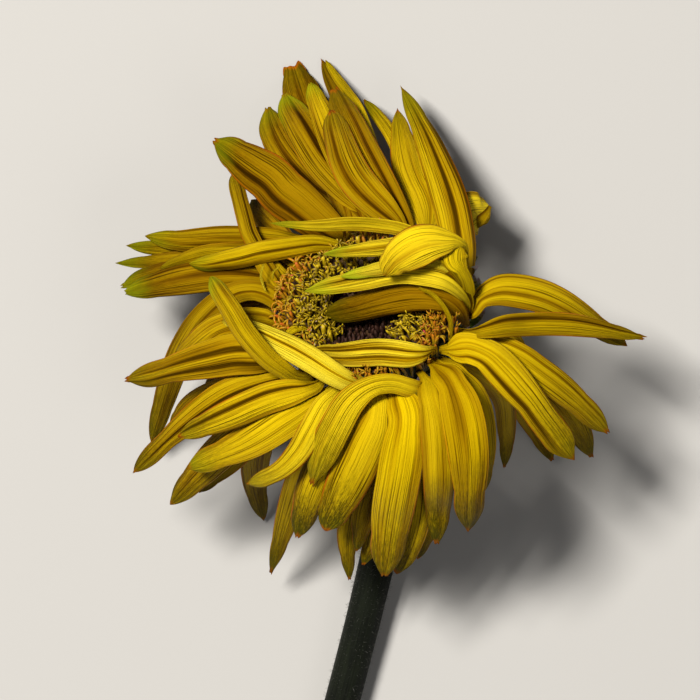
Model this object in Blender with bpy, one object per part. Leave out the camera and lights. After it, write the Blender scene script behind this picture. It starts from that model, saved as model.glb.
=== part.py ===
"""Cut gerbera daisy, wilting and lying down: a stem, a flower head and its ray petals.

Design values are in millimetres and degrees, and solids are written in metres. The flower
lies on z = 0 with its head turned up (+Z) and away from the stem, which runs towards -Y.
Every petal grows from a seat on the rim of the head, follows its own route and is then
laid over the petals listed before it.
"""
import math
from dataclasses import dataclass

import bpy
from mathutils import Vector
from mathutils.bvhtree import BVHTree

MM = 0.001
UP = Vector((0.0, 0.0, 1.0))

# Flower head: a disc of florets on a cup, with petals seated in tiers round its rim
HEAD_CENTRE = Vector((0.0, -1.5, 40.0))
HEAD_AXIS = Vector((-0.12, 0.60, 0.79)).normalized()
RIM_RADIUS = 18.65
RIM_DEPTH = 4.2
CUP_DEPTH = 13.8
DISH_DEPTH = 2.4
SEAT_GAP = 0.3
ROUND_SEGMENTS = 32

# Disc florets: three rings on the cup
CENTRE_RADIUS = 7.6
FLORET_RADIUS = 14.0
FLORET_HEIGHT = 3.0
OUTER_FLORET_HEIGHT = 3.8

# Bracts: a green collar of pointed leaves under the petals
BRACT_COUNT = 24
BRACT_THICKNESS = 0.9
BRACT_REACH = 0.9
LONG_BRACT_REACH = 3.2
LONG_BRACT_ANGLE = 4.0
LONG_BRACT_SPREAD = 17.0

# Stem
STEM_SIDES = 14
STEM_STATIONS = 20
STEM_TOP_RADIUS = 4.3
STEM_FOOT_RADIUS = 3.75

# Petals
TIER_STEP = 1.3
FIRST_TIER_DEPTH = 0.6
PETAL_STATIONS = 11
PETAL_THICKNESS = 0.5
PETAL_BASE_WIDTH = 1.5
PETAL_CUP = 0.5
BLADE_GROWTH = 0.34
TIP_SHARE = 0.12
STACK_GAP = 0.45
FLOOR_GAP = 0.02
SETTLE_REACH = 13.0
FREE_LENGTH = 3.5
STEEPEST = 0.6
SETTLE_PASSES = 3
LEVEL_SHARE = 0.35


@dataclass(frozen=True)
class Petal:
    """One ray petal: its seat on the rim and the route of its middle line, base to tip.

    The claw is the share of the length that stays narrow, the taper is where the blade
    begins to narrow again, and the point runs from 0, a round tip, to 1, a sharp one.
    """

    name: str
    seat_angle: float
    tier: int
    width: float
    route: tuple
    claw: float = 0.03
    taper: float = 0.55
    point: float = 0.1
    upright: bool = False


# Listed from the lowest petal to the topmost one: name, seat angle, tier, width and route
PETALS = (
    Petal("petal_top_01", 98, 2, 7.5,
          ((-4, 24, 16.5), (-9, 33, 10), (-14, 42.5, 4), (-17.4, 49.8, 0.5)), point=0.0),
    Petal("petal_top_02", 86, 2, 6.0,
          ((2, 24, 17), (-2, 34, 9.5), (-6.5, 43.5, 3.5), (-10.3, 51, 0.5)), point=0.5),
    Petal("petal_top_03", 110, 2, 7.6,
          ((-9, 20, 18.5), (-13.2, 26.5, 13.5), (-18.2, 34.5, 8), (-21.8, 41, 4)), point=0.3),
    Petal("petal_top_04", 66, 2, 4.2,
          ((9, 22, 19.5), (6, 31, 12.8), (2.5, 37, 8.5), (-1.2, 42.6, 5)), point=0.7),
    Petal("petal_top_05", 40, 2, 6.0,
          ((16.5, 16, 25), (18, 20.5, 21.5), (21.5, 21, 20.5), (25, 18, 19))),
    Petal("petal_top_06", 95, 1, 8.0,
          ((-1, 20, 21), (-7, 28, 14.8), (-13, 36, 9.5), (-17.7, 43.2, 5))),
    Petal("petal_top_07", 56, 1, 7.2,
          ((11.5, 20, 22.8), (8.5, 27, 17.5), (6.8, 34, 12.5), (5.8, 40.5, 8.5)), point=0.8),
    Petal("petal_top_08", 88, 1, 5.8,
          ((1, 20, 21.5), (-4, 29, 15.5), (-9, 38.5, 9.8), (-12.7, 46, 6)), point=0.2),
    Petal("petal_top_09", 76, 1, 7.8,
          ((4, 20.5, 21.8), (0.5, 28, 16.5), (-4, 37, 11.5), (-7.8, 45, 7)), point=0.4),
    Petal("petal_top_10", 33, 0, 8.0,
          ((18.3, 16, 28.5), (16.4, 23.5, 23.5), (12, 34, 16.5), (6.5, 45.2, 9)), point=1.0, taper=0.3),
    Petal("petal_top_11", 82, 0, 7.2,
          ((3, 18.5, 25.3), (-1.5, 26, 20.5), (-6, 34, 15.5), (-8.3, 40, 12)), point=0.3),
    Petal("petal_left_01", 129, 2, 4.8,
          ((-22, 11.5, 24.5), (-36, 11, 24.5), (-45, 11, 22.5), (-51.3, 11.5, 20.5)), point=0.5),
    Petal("petal_left_02", 138, 2, 4.2,
          ((-24, 8.5, 25.5), (-38, 8.5, 25), (-47, 8, 23), (-53.6, 7.8, 21)), point=0.6),
    Petal("petal_left_03", 148, 2, 6.4,
          ((-24, 6, 27.5), (-36, 5.8, 27), (-46, 4.8, 24.5), (-52.5, 2.8, 22))),
    Petal("petal_left_04", 120, 1, 5.8,
          ((-20, 12.4, 26.5), (-30, 12.8, 27), (-40, 12.5, 25.5), (-47.3, 13.5, 23)), point=0.2),
    Petal("petal_left_05", 133, 1, 4.2,
          ((-20, 10.3, 27.5), (-34, 9.8, 27.5), (-40, 8.3, 26.5), (-44.6, 6.5, 25.5)), point=0.7),
    Petal("petal_left_07", 152, 1, 6.8,
          ((-22, 4.8, 31), (-30, 5.4, 31), (-40, 4.2, 28.5), (-51.7, 1.6, 24.5))),
    Petal("petal_left_06", 160, 0, 3.7,
          ((-22, 7, 33), (-25.2, 12.5, 31.3), (-27, 19, 27), (-29, 26.5, 21.5)), point=0.3),
    Petal("petal_left_08", 168, 1, 5.6,
          ((-25, 3, 36), (-31, 1.2, 34.5), (-36.6, -5, 29), (-40.2, -11.5, 23), (-43.6, -21.5, 15),
           (-46.1, -30.5, 8)), point=0.4),
    Petal("petal_left_09", 180, 0, 8.0,
          ((-25, -5, 41), (-31, -6.5, 40), (-36, -10, 36), (-41, -14, 31))),
    Petal("petal_top_12", 103, 0, 10.2,
          ((-8, 16, 26.5), (-18, 23.5, 25), (-26, 29, 23.8), (-33, 34, 22)), point=0.2),
    Petal("petal_left_10", 114, 0, 5.6,
          ((-9.5, 13.6, 34.3), (-14, 12.2, 34.6), (-20, 11, 33.6), (-30, 8.5, 31), (-38, 7.5, 28.5)),
          upright=True),
    Petal("petal_over_disc_01", 46, 0, 3.0,
          ((12, 13.2, 36), (6, 15, 37), (-3, 16, 35.5), (-12, 15.6, 33.5), (-21, 16.2, 31.5)),
          point=0.9, upright=True),
    Petal("petal_low_01", 222, 2, 6.2,
          ((-19, -20, 38), (-23.3, -30, 26), (-24.3, -38, 14), (-22.4, -46.5, 0.6)), point=0.4),
    Petal("petal_low_02", 248, 2, 5.6,
          ((-10, -24, 45), (-14.5, -36, 34), (-18.1, -48, 20), (-21, -57.8, 9)), point=0.6),
    Petal("petal_low_03", 237, 2, 7.6,
          ((-15, -21, 46), (-23, -25.5, 43), (-31, -31.5, 37.5), (-42, -43, 25)), point=0.3),
    Petal("petal_low_04", 226, 1, 7.0,
          ((-20, -16.5, 47), (-30, -20, 44.5), (-40, -27, 38.5), (-49.8, -36.3, 29)),
          point=1.0, taper=0.3),
    Petal("petal_left_11", 213, 0, 7.4,
          ((-21, -13.3, 47.5), (-29, -13, 46.5), (-40, -13.7, 42), (-52.3, -16.5, 33)), point=0.4),
    Petal("petal_right_01", 327, 2, 6.0,
          ((23.5, -13, 42), (30, -19, 30), (35, -26.5, 14), (38.6, -34, 0.6)), point=0.2),
    Petal("petal_right_02", 319, 2, 4.4,
          ((21, -14.5, 46), (27.5, -20, 37), (28.8, -28, 25), (28.3, -35.4, 14)), point=0.5),
    Petal("petal_right_03", 334, 2, 6.6,
          ((24, -10, 45), (34, -16, 40), (42, -24, 32), (46.8, -33.2, 22))),
    Petal("petal_right_04", 314, 1, 7.0,
          ((19, -17, 53), (22.2, -23, 51), (23.2, -31, 46.5), (23.2, -41, 39)), point=0.3),
    Petal("petal_right_05", 330, 1, 6.4,
          ((20, -9, 50.5), (28.5, -10.8, 51.3), (36.3, -15.7, 49), (43, -21, 44.5), (50.2, -28, 37.5)),
          point=0.3),
    Petal("petal_right_06", 320, 0, 7.8,
          ((19, -9.8, 53), (25, -11.8, 54.5), (33, -20.5, 51.5), (43, -33.5, 41)),
          point=0.8, taper=0.4),
    Petal("petal_right_07", 349, 1, 7.2,
          ((22.5, -0.5, 47), (27, 2, 48), (38, 0, 45.5), (54, -9.6, 37)), point=0.5, taper=0.45),
    Petal("petal_right_08", 338, 0, 5.0,
          ((22, -7, 50.5), (28, -5.5, 51.5), (42, -5.2, 48), (58, -8, 39.5)), point=0.6),
    Petal("petal_over_disc_05", 24, 0, 3.8,
          ((17, 9.3, 42), (11, 11.8, 44.5), (2, 10.9, 43.5), (-9.8, 9.6, 40.5)),
          point=0.5, upright=True),
    Petal("petal_over_disc_02", 348, 0, 6.6,
          ((18.6, -1.4, 48.6), (15.8, 0.2, 51), (11, 1.1, 50.4), (5, 0.6, 47.8), (-2, -1.5, 46),
           (-9.3, -3, 45)), claw=0.2, upright=True),
    Petal("petal_over_disc_03", 356, 1, 5.4,
          ((19.2, 2, 47.5), (16, 4.2, 51), (8, 6.3, 50.8), (-4, 3.8, 48.5), (-13.7, 1.8, 46)),
          point=0.4, upright=True),
    Petal("petal_over_disc_04", 4, 1, 3.6,
          ((20.3, 4.9, 47), (17.3, 7.4, 52.4), (10, 8, 53), (2, 6.5, 51.8), (-6.3, 4.8, 50)),
          point=0.4, upright=True),
    Petal("petal_over_disc_06", 13, 1, 9.8,
          ((20.7, 7, 45), (20.3, 10.3, 50.5), (18, 12, 55), (13.5, 11.8, 57), (8.5, 10.3, 57), (3.1, 5, 55)),
          claw=0.38, point=0.2, upright=True),
    Petal("petal_low_05", 290, 2, 8.0,
          ((9.3, -26, 52), (9.5, -38, 47), (8.5, -49, 39), (5.5, -57.5, 31))),
    Petal("petal_low_06", 263, 1, 7.8,
          ((-4, -24, 54.5), (-8.5, -32, 51), (-12.5, -41, 45), (-15.3, -50, 36)), point=0.2),
    Petal("petal_low_07", 247, 1, 8.4,
          ((-11, -20.8, 54), (-18, -25, 52.5), (-26, -30, 48), (-38.3, -35.4, 39)),
          point=0.5, taper=0.4),
    Petal("petal_low_08", 241, 0, 6.6,
          ((-13, -18.6, 54), (-21, -20.5, 53.5), (-30, -24.3, 49.5), (-40.3, -28.7, 42)), point=0.3),
    Petal("petal_low_09", 255, 0, 7.0,
          ((-8.5, -22, 55), (-12.5, -27.5, 53.5), (-18, -33, 49), (-26, -38.3, 42)),
          point=1.0, taper=0.35),
    Petal("petal_low_10", 273, 0, 9.4,
          ((1.3, -24.5, 56.5), (-1.5, -31.5, 54.5), (-5.5, -40, 49), (-9.5, -48.4, 41)), point=0.1),
    Petal("petal_low_11", 284, 0, 9.4,
          ((7.5, -24, 56), (6.5, -34, 53), (4.5, -46, 45), (3, -58.2, 34)), point=0.1),
    Petal("petal_low_12", 297, 0, 6.8,
          ((8.5, -18, 55.5), (2.5, -17.8, 57.5), (-3, -20.5, 58), (-7.5, -27.5, 56), (-12.2, -39, 48)),
          claw=0.2, point=0.3),
    Petal("petal_right_09", 302, 1, 6.8,
          ((12.3, -20, 55), (13.8, -27, 54), (14.4, -38, 48), (14, -51.4, 37)), point=0.1),
    Petal("petal_right_10", 309, 0, 9.2,
          ((16.5, -16.5, 56.5), (19.3, -24, 56.5), (20.8, -35, 51), (20.6, -48.6, 40)),
          point=0.5, taper=0.45),
    Petal("petal_over_disc_07", 315, 0, 5.8,
          ((10, -11.6, 54.5), (2, -11, 53), (-6, -11.5, 52), (-13, -11, 51)), upright=True),
    Petal("petal_over_disc_08", 262, 0, 5.4,
          ((-6, -17.5, 55.5), (-12, -13, 54), (-20, -8.5, 51), (-25.5, -5, 49)),
          claw=0.12, upright=True),
    Petal("petal_left_12", 229, 0, 4.6,
          ((-17.5, -15.8, 54.6), (-22.5, -12.5, 56), (-28.5, -5, 54), (-33.2, 4.5, 50)), upright=True),
)

# Route of the stem's middle line after the head, and the floor it lies on
STEM_ROUTE = (
    (4.3, -24, 15.5),
    (4.8, -38, 10.5),
    (0.6, -59, 6.2),
    (-5.5, -83.4, 4.3),
    (-14, -115, 3.78),
    (-24, -148, 3.76),
    (-33, -178, 3.76),
)


def clear_scene():
    """Remove every object that the file opened with."""
    for item in list(bpy.data.objects):
        bpy.data.objects.remove(item, do_unlink=True)


def make_material(name, colour, roughness):
    """Return a Principled material with one plain colour."""
    material = bpy.data.materials.new(name)
    material.use_nodes = True
    shader = material.node_tree.nodes["Principled BSDF"]
    shader.inputs["Base Color"].default_value = (*colour, 1.0)
    shader.inputs["Roughness"].default_value = roughness
    return material


def make_solid(name, vertices, faces, material):
    """Add one closed solid, given in millimetres, to the scene."""
    mesh = bpy.data.meshes.new(name)
    mesh.from_pydata([vertex * MM for vertex in vertices], [], faces)
    mesh.materials.append(material)
    mesh.shade_smooth()
    item = bpy.data.objects.new(name, mesh)
    bpy.context.scene.collection.objects.link(item)
    return item


def head_axes():
    """Return the two directions across the head, at 0 and at 90 degrees round its rim."""
    across = (Vector((1.0, 0.0, 0.0)) - HEAD_AXIS * HEAD_AXIS.x).normalized()
    return across, HEAD_AXIS.cross(across)


def head_point(angle, radius, height):
    """Return the point of the head at an angle in degrees, a radius and a height along its axis."""
    across, along = head_axes()
    turn = math.radians(angle)
    radial = across * math.cos(turn) + along * math.sin(turn)
    return HEAD_CENTRE + radial * radius + HEAD_AXIS * height


def ring_faces(ring_count, ring_size, closed_loop=False):
    """Return the quads that join rings of points, with end caps unless the rings close a loop."""
    faces = []
    last = ring_count if closed_loop else ring_count - 1
    for ring in range(last):
        first = ring * ring_size
        second = ((ring + 1) % ring_count) * ring_size
        for step in range(ring_size):
            following = (step + 1) % ring_size
            faces.append((first + step, first + following, second + following, second + step))
    if not closed_loop:
        end = (ring_count - 1) * ring_size
        faces.append(tuple(reversed(range(ring_size))))
        faces.append(tuple(range(end, end + ring_size)))
    return faces


def turned_ring(profile):
    """Return the solid swept by a closed outline of (radius, height) round the head's axis."""
    rings = [[head_point(-360.0 * turn / ROUND_SEGMENTS, radius, height) for radius, height in profile]
             for turn in range(ROUND_SEGMENTS)]
    vertices = [point for ring in rings for point in ring]
    return vertices, ring_faces(ROUND_SEGMENTS, len(profile), closed_loop=True)


def turned_solid(profile):
    """Return the solid of an outline of (radius, height), top to bottom, with flat ends."""
    rings = [[head_point(-360.0 * turn / ROUND_SEGMENTS, radius, height) for turn in range(ROUND_SEGMENTS)]
             for radius, height in profile]
    vertices = [point for ring in rings for point in ring]
    return vertices, ring_faces(len(profile), ROUND_SEGMENTS)


def smooth_route(points, count):
    """Return points evenly spaced along a Catmull-Rom curve through the given ones."""
    padded = [points[0] * 2 - points[1], *points, points[-1] * 2 - points[-2]]
    dense = []
    pieces = 16
    for index in range(1, len(padded) - 2):
        before, start, end, after = padded[index - 1:index + 3]
        for piece in range(pieces):
            t = piece / pieces
            dense.append(0.5 * (start * 2 + (end - before) * t
                                + (before * 2 - start * 5 + end * 4 - after) * t ** 2
                                + (start * 3 - before - end * 3 + after) * t ** 3))
    dense.append(points[-1])
    travelled = [0.0]
    for first, second in zip(dense, dense[1:]):
        travelled.append(travelled[-1] + (second - first).length)
    route = []
    index = 0
    for step in range(count):
        goal = travelled[-1] * step / (count - 1)
        while index < len(dense) - 2 and travelled[index + 1] < goal:
            index += 1
        share = (goal - travelled[index]) / (travelled[index + 1] - travelled[index])
        route.append(dense[index].lerp(dense[index + 1], share))
    return route


def route_directions(route):
    """Return the direction of travel at each point of a route."""
    ends = [route[0] * 2 - route[1], *route, route[-1] * 2 - route[-2]]
    return [(after - before).normalized() for before, after in zip(ends, ends[2:])]


def smooth_step(value):
    """Return a value eased between 0 and 1."""
    value = min(max(value, 0.0), 1.0)
    return value * value * (3.0 - 2.0 * value)


def petal_half_width(petal, share):
    """Return half of a petal's width at a share of its length: a claw, a blade and a tip."""
    blade = smooth_step((share - petal.claw) / BLADE_GROWTH)
    half = 0.5 * (PETAL_BASE_WIDTH + (petal.width - PETAL_BASE_WIDTH) * blade)
    past_taper = max(0.0, (share - petal.taper) / (1.0 - petal.taper))
    narrowing = (1.0 - past_taper ** 2) ** (0.5 + 0.5 * petal.point)
    return half * max(narrowing, TIP_SHARE)


def petal_route(petal):
    """Return a petal's middle line, from its seat on the rim through its own points."""
    depth = FIRST_TIER_DEPTH + TIER_STEP * petal.tier
    seat = head_point(petal.seat_angle, RIM_RADIUS + SEAT_GAP, -depth)
    outward = (seat - head_point(petal.seat_angle, 0.0, -depth)).normalized()
    lean = (outward * 0.35 + HEAD_AXIS * 0.94) if petal.upright else (outward * 0.95 + HEAD_AXIS * 0.2)
    points = [seat, seat + lean * 2.5, *(Vector(point) for point in petal.route)]
    return smooth_route(points, PETAL_STATIONS)


def petal_frames(petal, route):
    """Return the direction across the petal and its inner normal at each point of its route.

    The petal starts along the rim, is carried along its route without twist, and turns
    level where the route is not steep, towards the side that it already leans to.
    """
    directions = route_directions(route)
    carried = [head_point(petal.seat_angle + 90.0, 1.0, 0.0) - HEAD_CENTRE]
    for before, after in zip(directions, directions[1:]):
        carried.append(before.rotation_difference(after) @ carried[-1])
    levels = [UP.cross(forward) for forward in directions]
    lean = sum(level.dot(across) for level, across in zip(levels, carried))
    frames = []
    for index, (forward, level, across) in enumerate(zip(directions, levels, carried)):
        share = smooth_step(index / (LEVEL_SHARE * (len(route) - 1))) * smooth_step(2.0 * level.length)
        across = across.lerp(level.normalized() * math.copysign(1.0, lean), share)
        across = (across - forward * across.dot(forward)).normalized()
        frames.append((across, forward.cross(across)))
    return frames


def petal_rings(petal, route):
    """Return the cross-sections of a petal: a thin cupped blade with eight points round it."""
    rings = []
    frames = petal_frames(petal, route)
    for index, (centre, (across, normal)) in enumerate(zip(route, frames)):
        share = index / (len(route) - 1)
        half = petal_half_width(petal, share)
        cup = PETAL_CUP * half / (0.5 * petal.width)

        def blade(side, lift):
            return centre + across * (half * side) + normal * (cup * side * side + lift)

        upper = [blade(side, 0.5 * PETAL_THICKNESS) for side in (-0.5, 0.0, 0.5)]
        lower = [blade(side, -0.5 * PETAL_THICKNESS) for side in (0.5, 0.0, -0.5)]
        rings.append([blade(-1.0, 0.0), *upper, blade(1.0, 0.0), *lower])
    return rings


def petal_solid(petal, route):
    """Return the vertices and outward faces of a petal along a route."""
    rings = petal_rings(petal, route)
    vertices = [point for ring in rings for point in ring]
    return vertices, [tuple(reversed(face)) for face in ring_faces(len(rings), len(rings[0]))]


def needed_lifts(petal, route, below):
    """Return how far each station has to rise to clear the floor and the solids below."""
    lifts = []
    frames = petal_frames(petal, route)
    for index, (centre, (across, normal)) in enumerate(zip(route, frames)):
        share = index / (len(route) - 1)
        half = petal_half_width(petal, share) + STACK_GAP
        lift = 0.0
        forward = (route[min(index + 1, len(route) - 1)] - route[max(index - 1, 0)]) * 0.25
        for side in (-1.0, -0.66, -0.33, 0.0, 0.33, 0.66, 1.0):
            for step in (-1.0, 0.0, 1.0):
                spot = centre + across * (half * side) + forward * step
                point = spot + normal * (PETAL_CUP * side * side)
                underside = point.z - PETAL_THICKNESS * 0.75
                lift = max(lift, FLOOR_GAP - underside)
                hit = below.ray_cast(Vector((point.x, point.y, 200.0)), -UP)[0] if below else None
                if hit is not None:
                    lift = max(lift, hit.z + STACK_GAP - underside)
        lifts.append(lift)
    return lifts


def settle(petal, route, below):
    """Return the route raised smoothly, where needed, to lie over the solids below it."""
    lengths = [0.0]
    for first, second in zip(route, route[1:]):
        lengths.append(lengths[-1] + (second - first).length)
    for _ in range(SETTLE_PASSES):
        needs = [need if length > FREE_LENGTH and forward.z < STEEPEST else 0.0
                 for need, length, forward in zip(needed_lifts(petal, route, below), lengths,
                                                  route_directions(route))]
        raised = []
        for here, point in zip(lengths, route):
            lift = 0.0
            for there, need in zip(lengths, needs):
                nearness = min(abs(here - there) / SETTLE_REACH, 1.0)
                lift = max(lift, need * 0.5 * (1.0 + math.cos(math.pi * nearness)))
            raised.append(point + UP * lift * smooth_step((here - 0.5) / FREE_LENGTH))
        route = raised
    return route


def build_petals(material, disc):
    """Lay every petal in turn over the disc and over the petals before it."""
    vertices = []
    faces = []

    def lay(solid):
        start = len(vertices)
        vertices.extend(solid[0])
        faces.extend(tuple(start + corner for corner in face) for face in solid[1])

    for solid in disc:
        lay(solid)
    disc_faces = len(faces)
    items = []
    for petal in PETALS:
        obstacles = faces if petal.upright else faces[disc_faces:]
        below = BVHTree.FromPolygons(vertices, obstacles) if obstacles else None
        route = settle(petal, petal_route(petal), below)
        solid = petal_solid(petal, route)
        lay(solid)
        items.append(make_solid(petal.name, *solid, material))
    return items


def disc_solids():
    """Return the three rings of the disc: dark centre, open florets and long outer florets."""
    base = SEAT_GAP
    low = SEAT_GAP - DISH_DEPTH
    centre = turned_solid(((2.5, low + 1.2), (5.2, low + 1.4), (6.9, low + 1.1), (CENTRE_RADIUS, low + 0.6),
                           (CENTRE_RADIUS, low)))
    inner = CENTRE_RADIUS + SEAT_GAP
    florets = turned_ring(((inner, low + 0.2), (FLORET_RADIUS, base), (FLORET_RADIUS, FLORET_HEIGHT * 0.8),
                           (FLORET_RADIUS - 2.0, FLORET_HEIGHT), (inner + 1.8, FLORET_HEIGHT * 0.55),
                           (inner, 0.0)))
    inner = FLORET_RADIUS + SEAT_GAP
    outer = RIM_RADIUS - SEAT_GAP
    long_florets = turned_ring(((inner, base), (outer, base), (outer, OUTER_FLORET_HEIGHT * 0.7),
                                (outer - 1.2, OUTER_FLORET_HEIGHT), (inner + 1.0, OUTER_FLORET_HEIGHT * 0.9),
                                (inner, OUTER_FLORET_HEIGHT * 0.6)))
    return centre, florets, long_florets


def cup_profile():
    """Return the outline of the cup under the disc, as (radius, height) from rim to stem."""
    return ((CENTRE_RADIUS, -DISH_DEPTH), (FLORET_RADIUS, 0.0), (RIM_RADIUS, 0.0), (RIM_RADIUS, -RIM_DEPTH),
            (16.2, -7.4), (11.0, -11.2), (4.8, -CUP_DEPTH))


def bract_reach(angle):
    """Return how far the bract at an angle stands out past the cup's rim."""
    offset = (angle - LONG_BRACT_ANGLE + 180.0) % 360.0 - 180.0
    return BRACT_REACH + LONG_BRACT_REACH * math.exp(-(offset / LONG_BRACT_SPREAD) ** 2)


def bract_collar():
    """Return the collar of bracts as one shell that follows the cup and ends in points."""
    turns = BRACT_COUNT * 2
    rings = []
    for turn in range(turns):
        angle = 360.0 * turn / turns
        reach = bract_reach(angle) if turn % 2 else -0.6
        tip = (RIM_RADIUS + reach, -RIM_DEPTH - 0.9 - 0.25 * reach)
        inner = ((5.8, -CUP_DEPTH - 0.1), (11.4, -11.8), (16.6, -8.1), (RIM_RADIUS - 0.8, -RIM_DEPTH - 1.9))
        ring = [head_point(angle, *point) for point in inner]
        ring.append(head_point(angle, *tip))
        outer = [(radius + 0.6 * BRACT_THICKNESS, height - 0.8 * BRACT_THICKNESS) for radius, height in inner]
        ring.append(head_point(angle, tip[0] + 0.1, tip[1] - 0.5))
        ring.extend(head_point(angle, *point) for point in reversed(outer))
        rings.append(ring)
    vertices = [point for ring in rings for point in ring]
    return vertices, ring_faces(turns, len(rings[0]), closed_loop=True)


def stem_solid():
    """Return the stem: a round stalk from under the cup down to its cut end on the floor."""
    top = HEAD_CENTRE - HEAD_AXIS * (CUP_DEPTH + SEAT_GAP)
    points = [top, top - HEAD_AXIS * 9.0, *(Vector(point) for point in STEM_ROUTE)]
    route = smooth_route(points, STEM_STATIONS)
    vertices = []
    for index, (centre, forward) in enumerate(zip(route, route_directions(route))):
        share = smooth_step(index / (0.4 * (STEM_STATIONS - 1)))
        radius = STEM_TOP_RADIUS + (STEM_FOOT_RADIUS - STEM_TOP_RADIUS) * share
        side = forward.cross(UP).normalized()
        over = forward.cross(side)
        for step in range(STEM_SIDES):
            turn = 2.0 * math.pi * (step + 0.5) / STEM_SIDES
            vertices.append(centre + (side * math.cos(turn) + over * math.sin(turn)) * radius)
    return vertices, ring_faces(STEM_STATIONS, STEM_SIDES)


def centre_on_floor(items):
    """Move every solid so that the flower's box stands on z = 0, centred in x and y."""
    points = [vertex.co for item in items for vertex in item.data.vertices]
    lows = [min(point[axis] for point in points) for axis in range(3)]
    highs = [max(point[axis] for point in points) for axis in range(3)]
    shift = Vector((-(lows[0] + highs[0]) / 2.0, -(lows[1] + highs[1]) / 2.0, -lows[2]))
    for item in items:
        for vertex in item.data.vertices:
            vertex.co += shift


def main():
    """Build the flower."""
    clear_scene()
    petal_yellow = make_material("petal_yellow", (0.83, 0.60, 0.01), 0.55)
    disc_maroon = make_material("disc_maroon", (0.11, 0.03, 0.02), 0.75)
    floret_olive = make_material("floret_olive", (0.45, 0.42, 0.10), 0.70)
    floret_amber = make_material("floret_amber", (0.62, 0.30, 0.04), 0.65)
    bract_green = make_material("bract_green", (0.12, 0.21, 0.05), 0.65)
    cup_green = make_material("cup_green", (0.22, 0.30, 0.09), 0.70)
    stem_green = make_material("stem_green", (0.13, 0.18, 0.09), 0.80)

    centre, florets, long_florets = disc_solids()
    cup = turned_solid(cup_profile())
    collar = bract_collar()
    stem = stem_solid()
    items = [
        make_solid("disc_centre", *centre, disc_maroon),
        make_solid("disc_florets", *florets, floret_olive),
        make_solid("outer_florets", *long_florets, floret_amber),
        make_solid("receptacle", *cup, cup_green),
        make_solid("bract_collar", *collar, bract_green),
        make_solid("stem", *stem, stem_green),
    ]
    items.extend(build_petals(petal_yellow, (centre, florets, long_florets)))
    centre_on_floor(items)


main()
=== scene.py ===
"""Wilting gerbera daisy, cut and laid on its back: ray petals, disc florets, bracts and stem."""
import logging
import math
from dataclasses import dataclass, replace
from enum import Enum
from typing import Any, Callable, Iterable, Sequence

import bmesh
import bpy
import numpy as np
from mathutils import Matrix, Vector


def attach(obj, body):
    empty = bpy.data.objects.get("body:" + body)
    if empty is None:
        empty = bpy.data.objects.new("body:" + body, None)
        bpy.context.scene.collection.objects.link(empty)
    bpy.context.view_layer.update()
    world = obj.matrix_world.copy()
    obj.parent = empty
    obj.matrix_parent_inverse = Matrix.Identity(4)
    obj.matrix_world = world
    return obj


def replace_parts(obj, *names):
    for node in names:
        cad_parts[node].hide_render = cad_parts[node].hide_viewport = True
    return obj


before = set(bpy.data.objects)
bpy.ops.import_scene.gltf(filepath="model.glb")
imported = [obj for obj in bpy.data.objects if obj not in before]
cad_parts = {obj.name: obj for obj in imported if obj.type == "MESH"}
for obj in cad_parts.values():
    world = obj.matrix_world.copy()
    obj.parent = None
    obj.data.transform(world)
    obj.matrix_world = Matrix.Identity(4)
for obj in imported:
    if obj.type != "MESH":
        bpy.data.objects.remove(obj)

LOG = logging.getLogger("daisy")
MM = 0.001
BODY = "root"
UP = np.array((0.0, 0.0, 1.0))
FORE = np.array((1.0, 0.0, 0.0))
BLADE_MAP = "blade"
# Share of a full turn from one floret of a spiral to the next, and the step between petals' seeds
GOLDEN_TURN = 0.381966
GOLDEN_STEP = 0.61803

Colour = tuple[float, float, float]
# Points, faces as the numbers of their points, and a UV place for each point
Shape = tuple[np.ndarray, list[tuple[int, ...]], np.ndarray | None]
# Points from foot to tip, each an offset from the head's centre along x, y and z and the half
# width there, in millimetres
Route = tuple[tuple[float, float, float, float], ...]


# ---- Node trees ----


class Shade:
    """One output of a node tree that can be used in arithmetic with numbers and other outputs."""

    def __init__(self, bench: "Bench", socket: bpy.types.NodeSocket) -> None:
        """Wrap a socket of the bench's tree."""
        self.bench = bench
        self.socket = socket

    def __add__(self, other: "Shade | float") -> "Shade":
        """Return the sum."""
        return self.bench.math("ADD", self, other)

    def __sub__(self, other: "Shade | float") -> "Shade":
        """Return the difference."""
        return self.bench.math("SUBTRACT", self, other)

    def __rsub__(self, other: float) -> "Shade":
        """Return a number less this output."""
        return self.bench.math("SUBTRACT", other, self)

    def __mul__(self, other: "Shade | float") -> "Shade":
        """Return the product."""
        return self.bench.math("MULTIPLY", self, other)

    def __truediv__(self, other: "Shade | float") -> "Shade":
        """Return the quotient."""
        return self.bench.math("DIVIDE", self, other)

    __radd__ = __add__
    __rmul__ = __mul__


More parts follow.
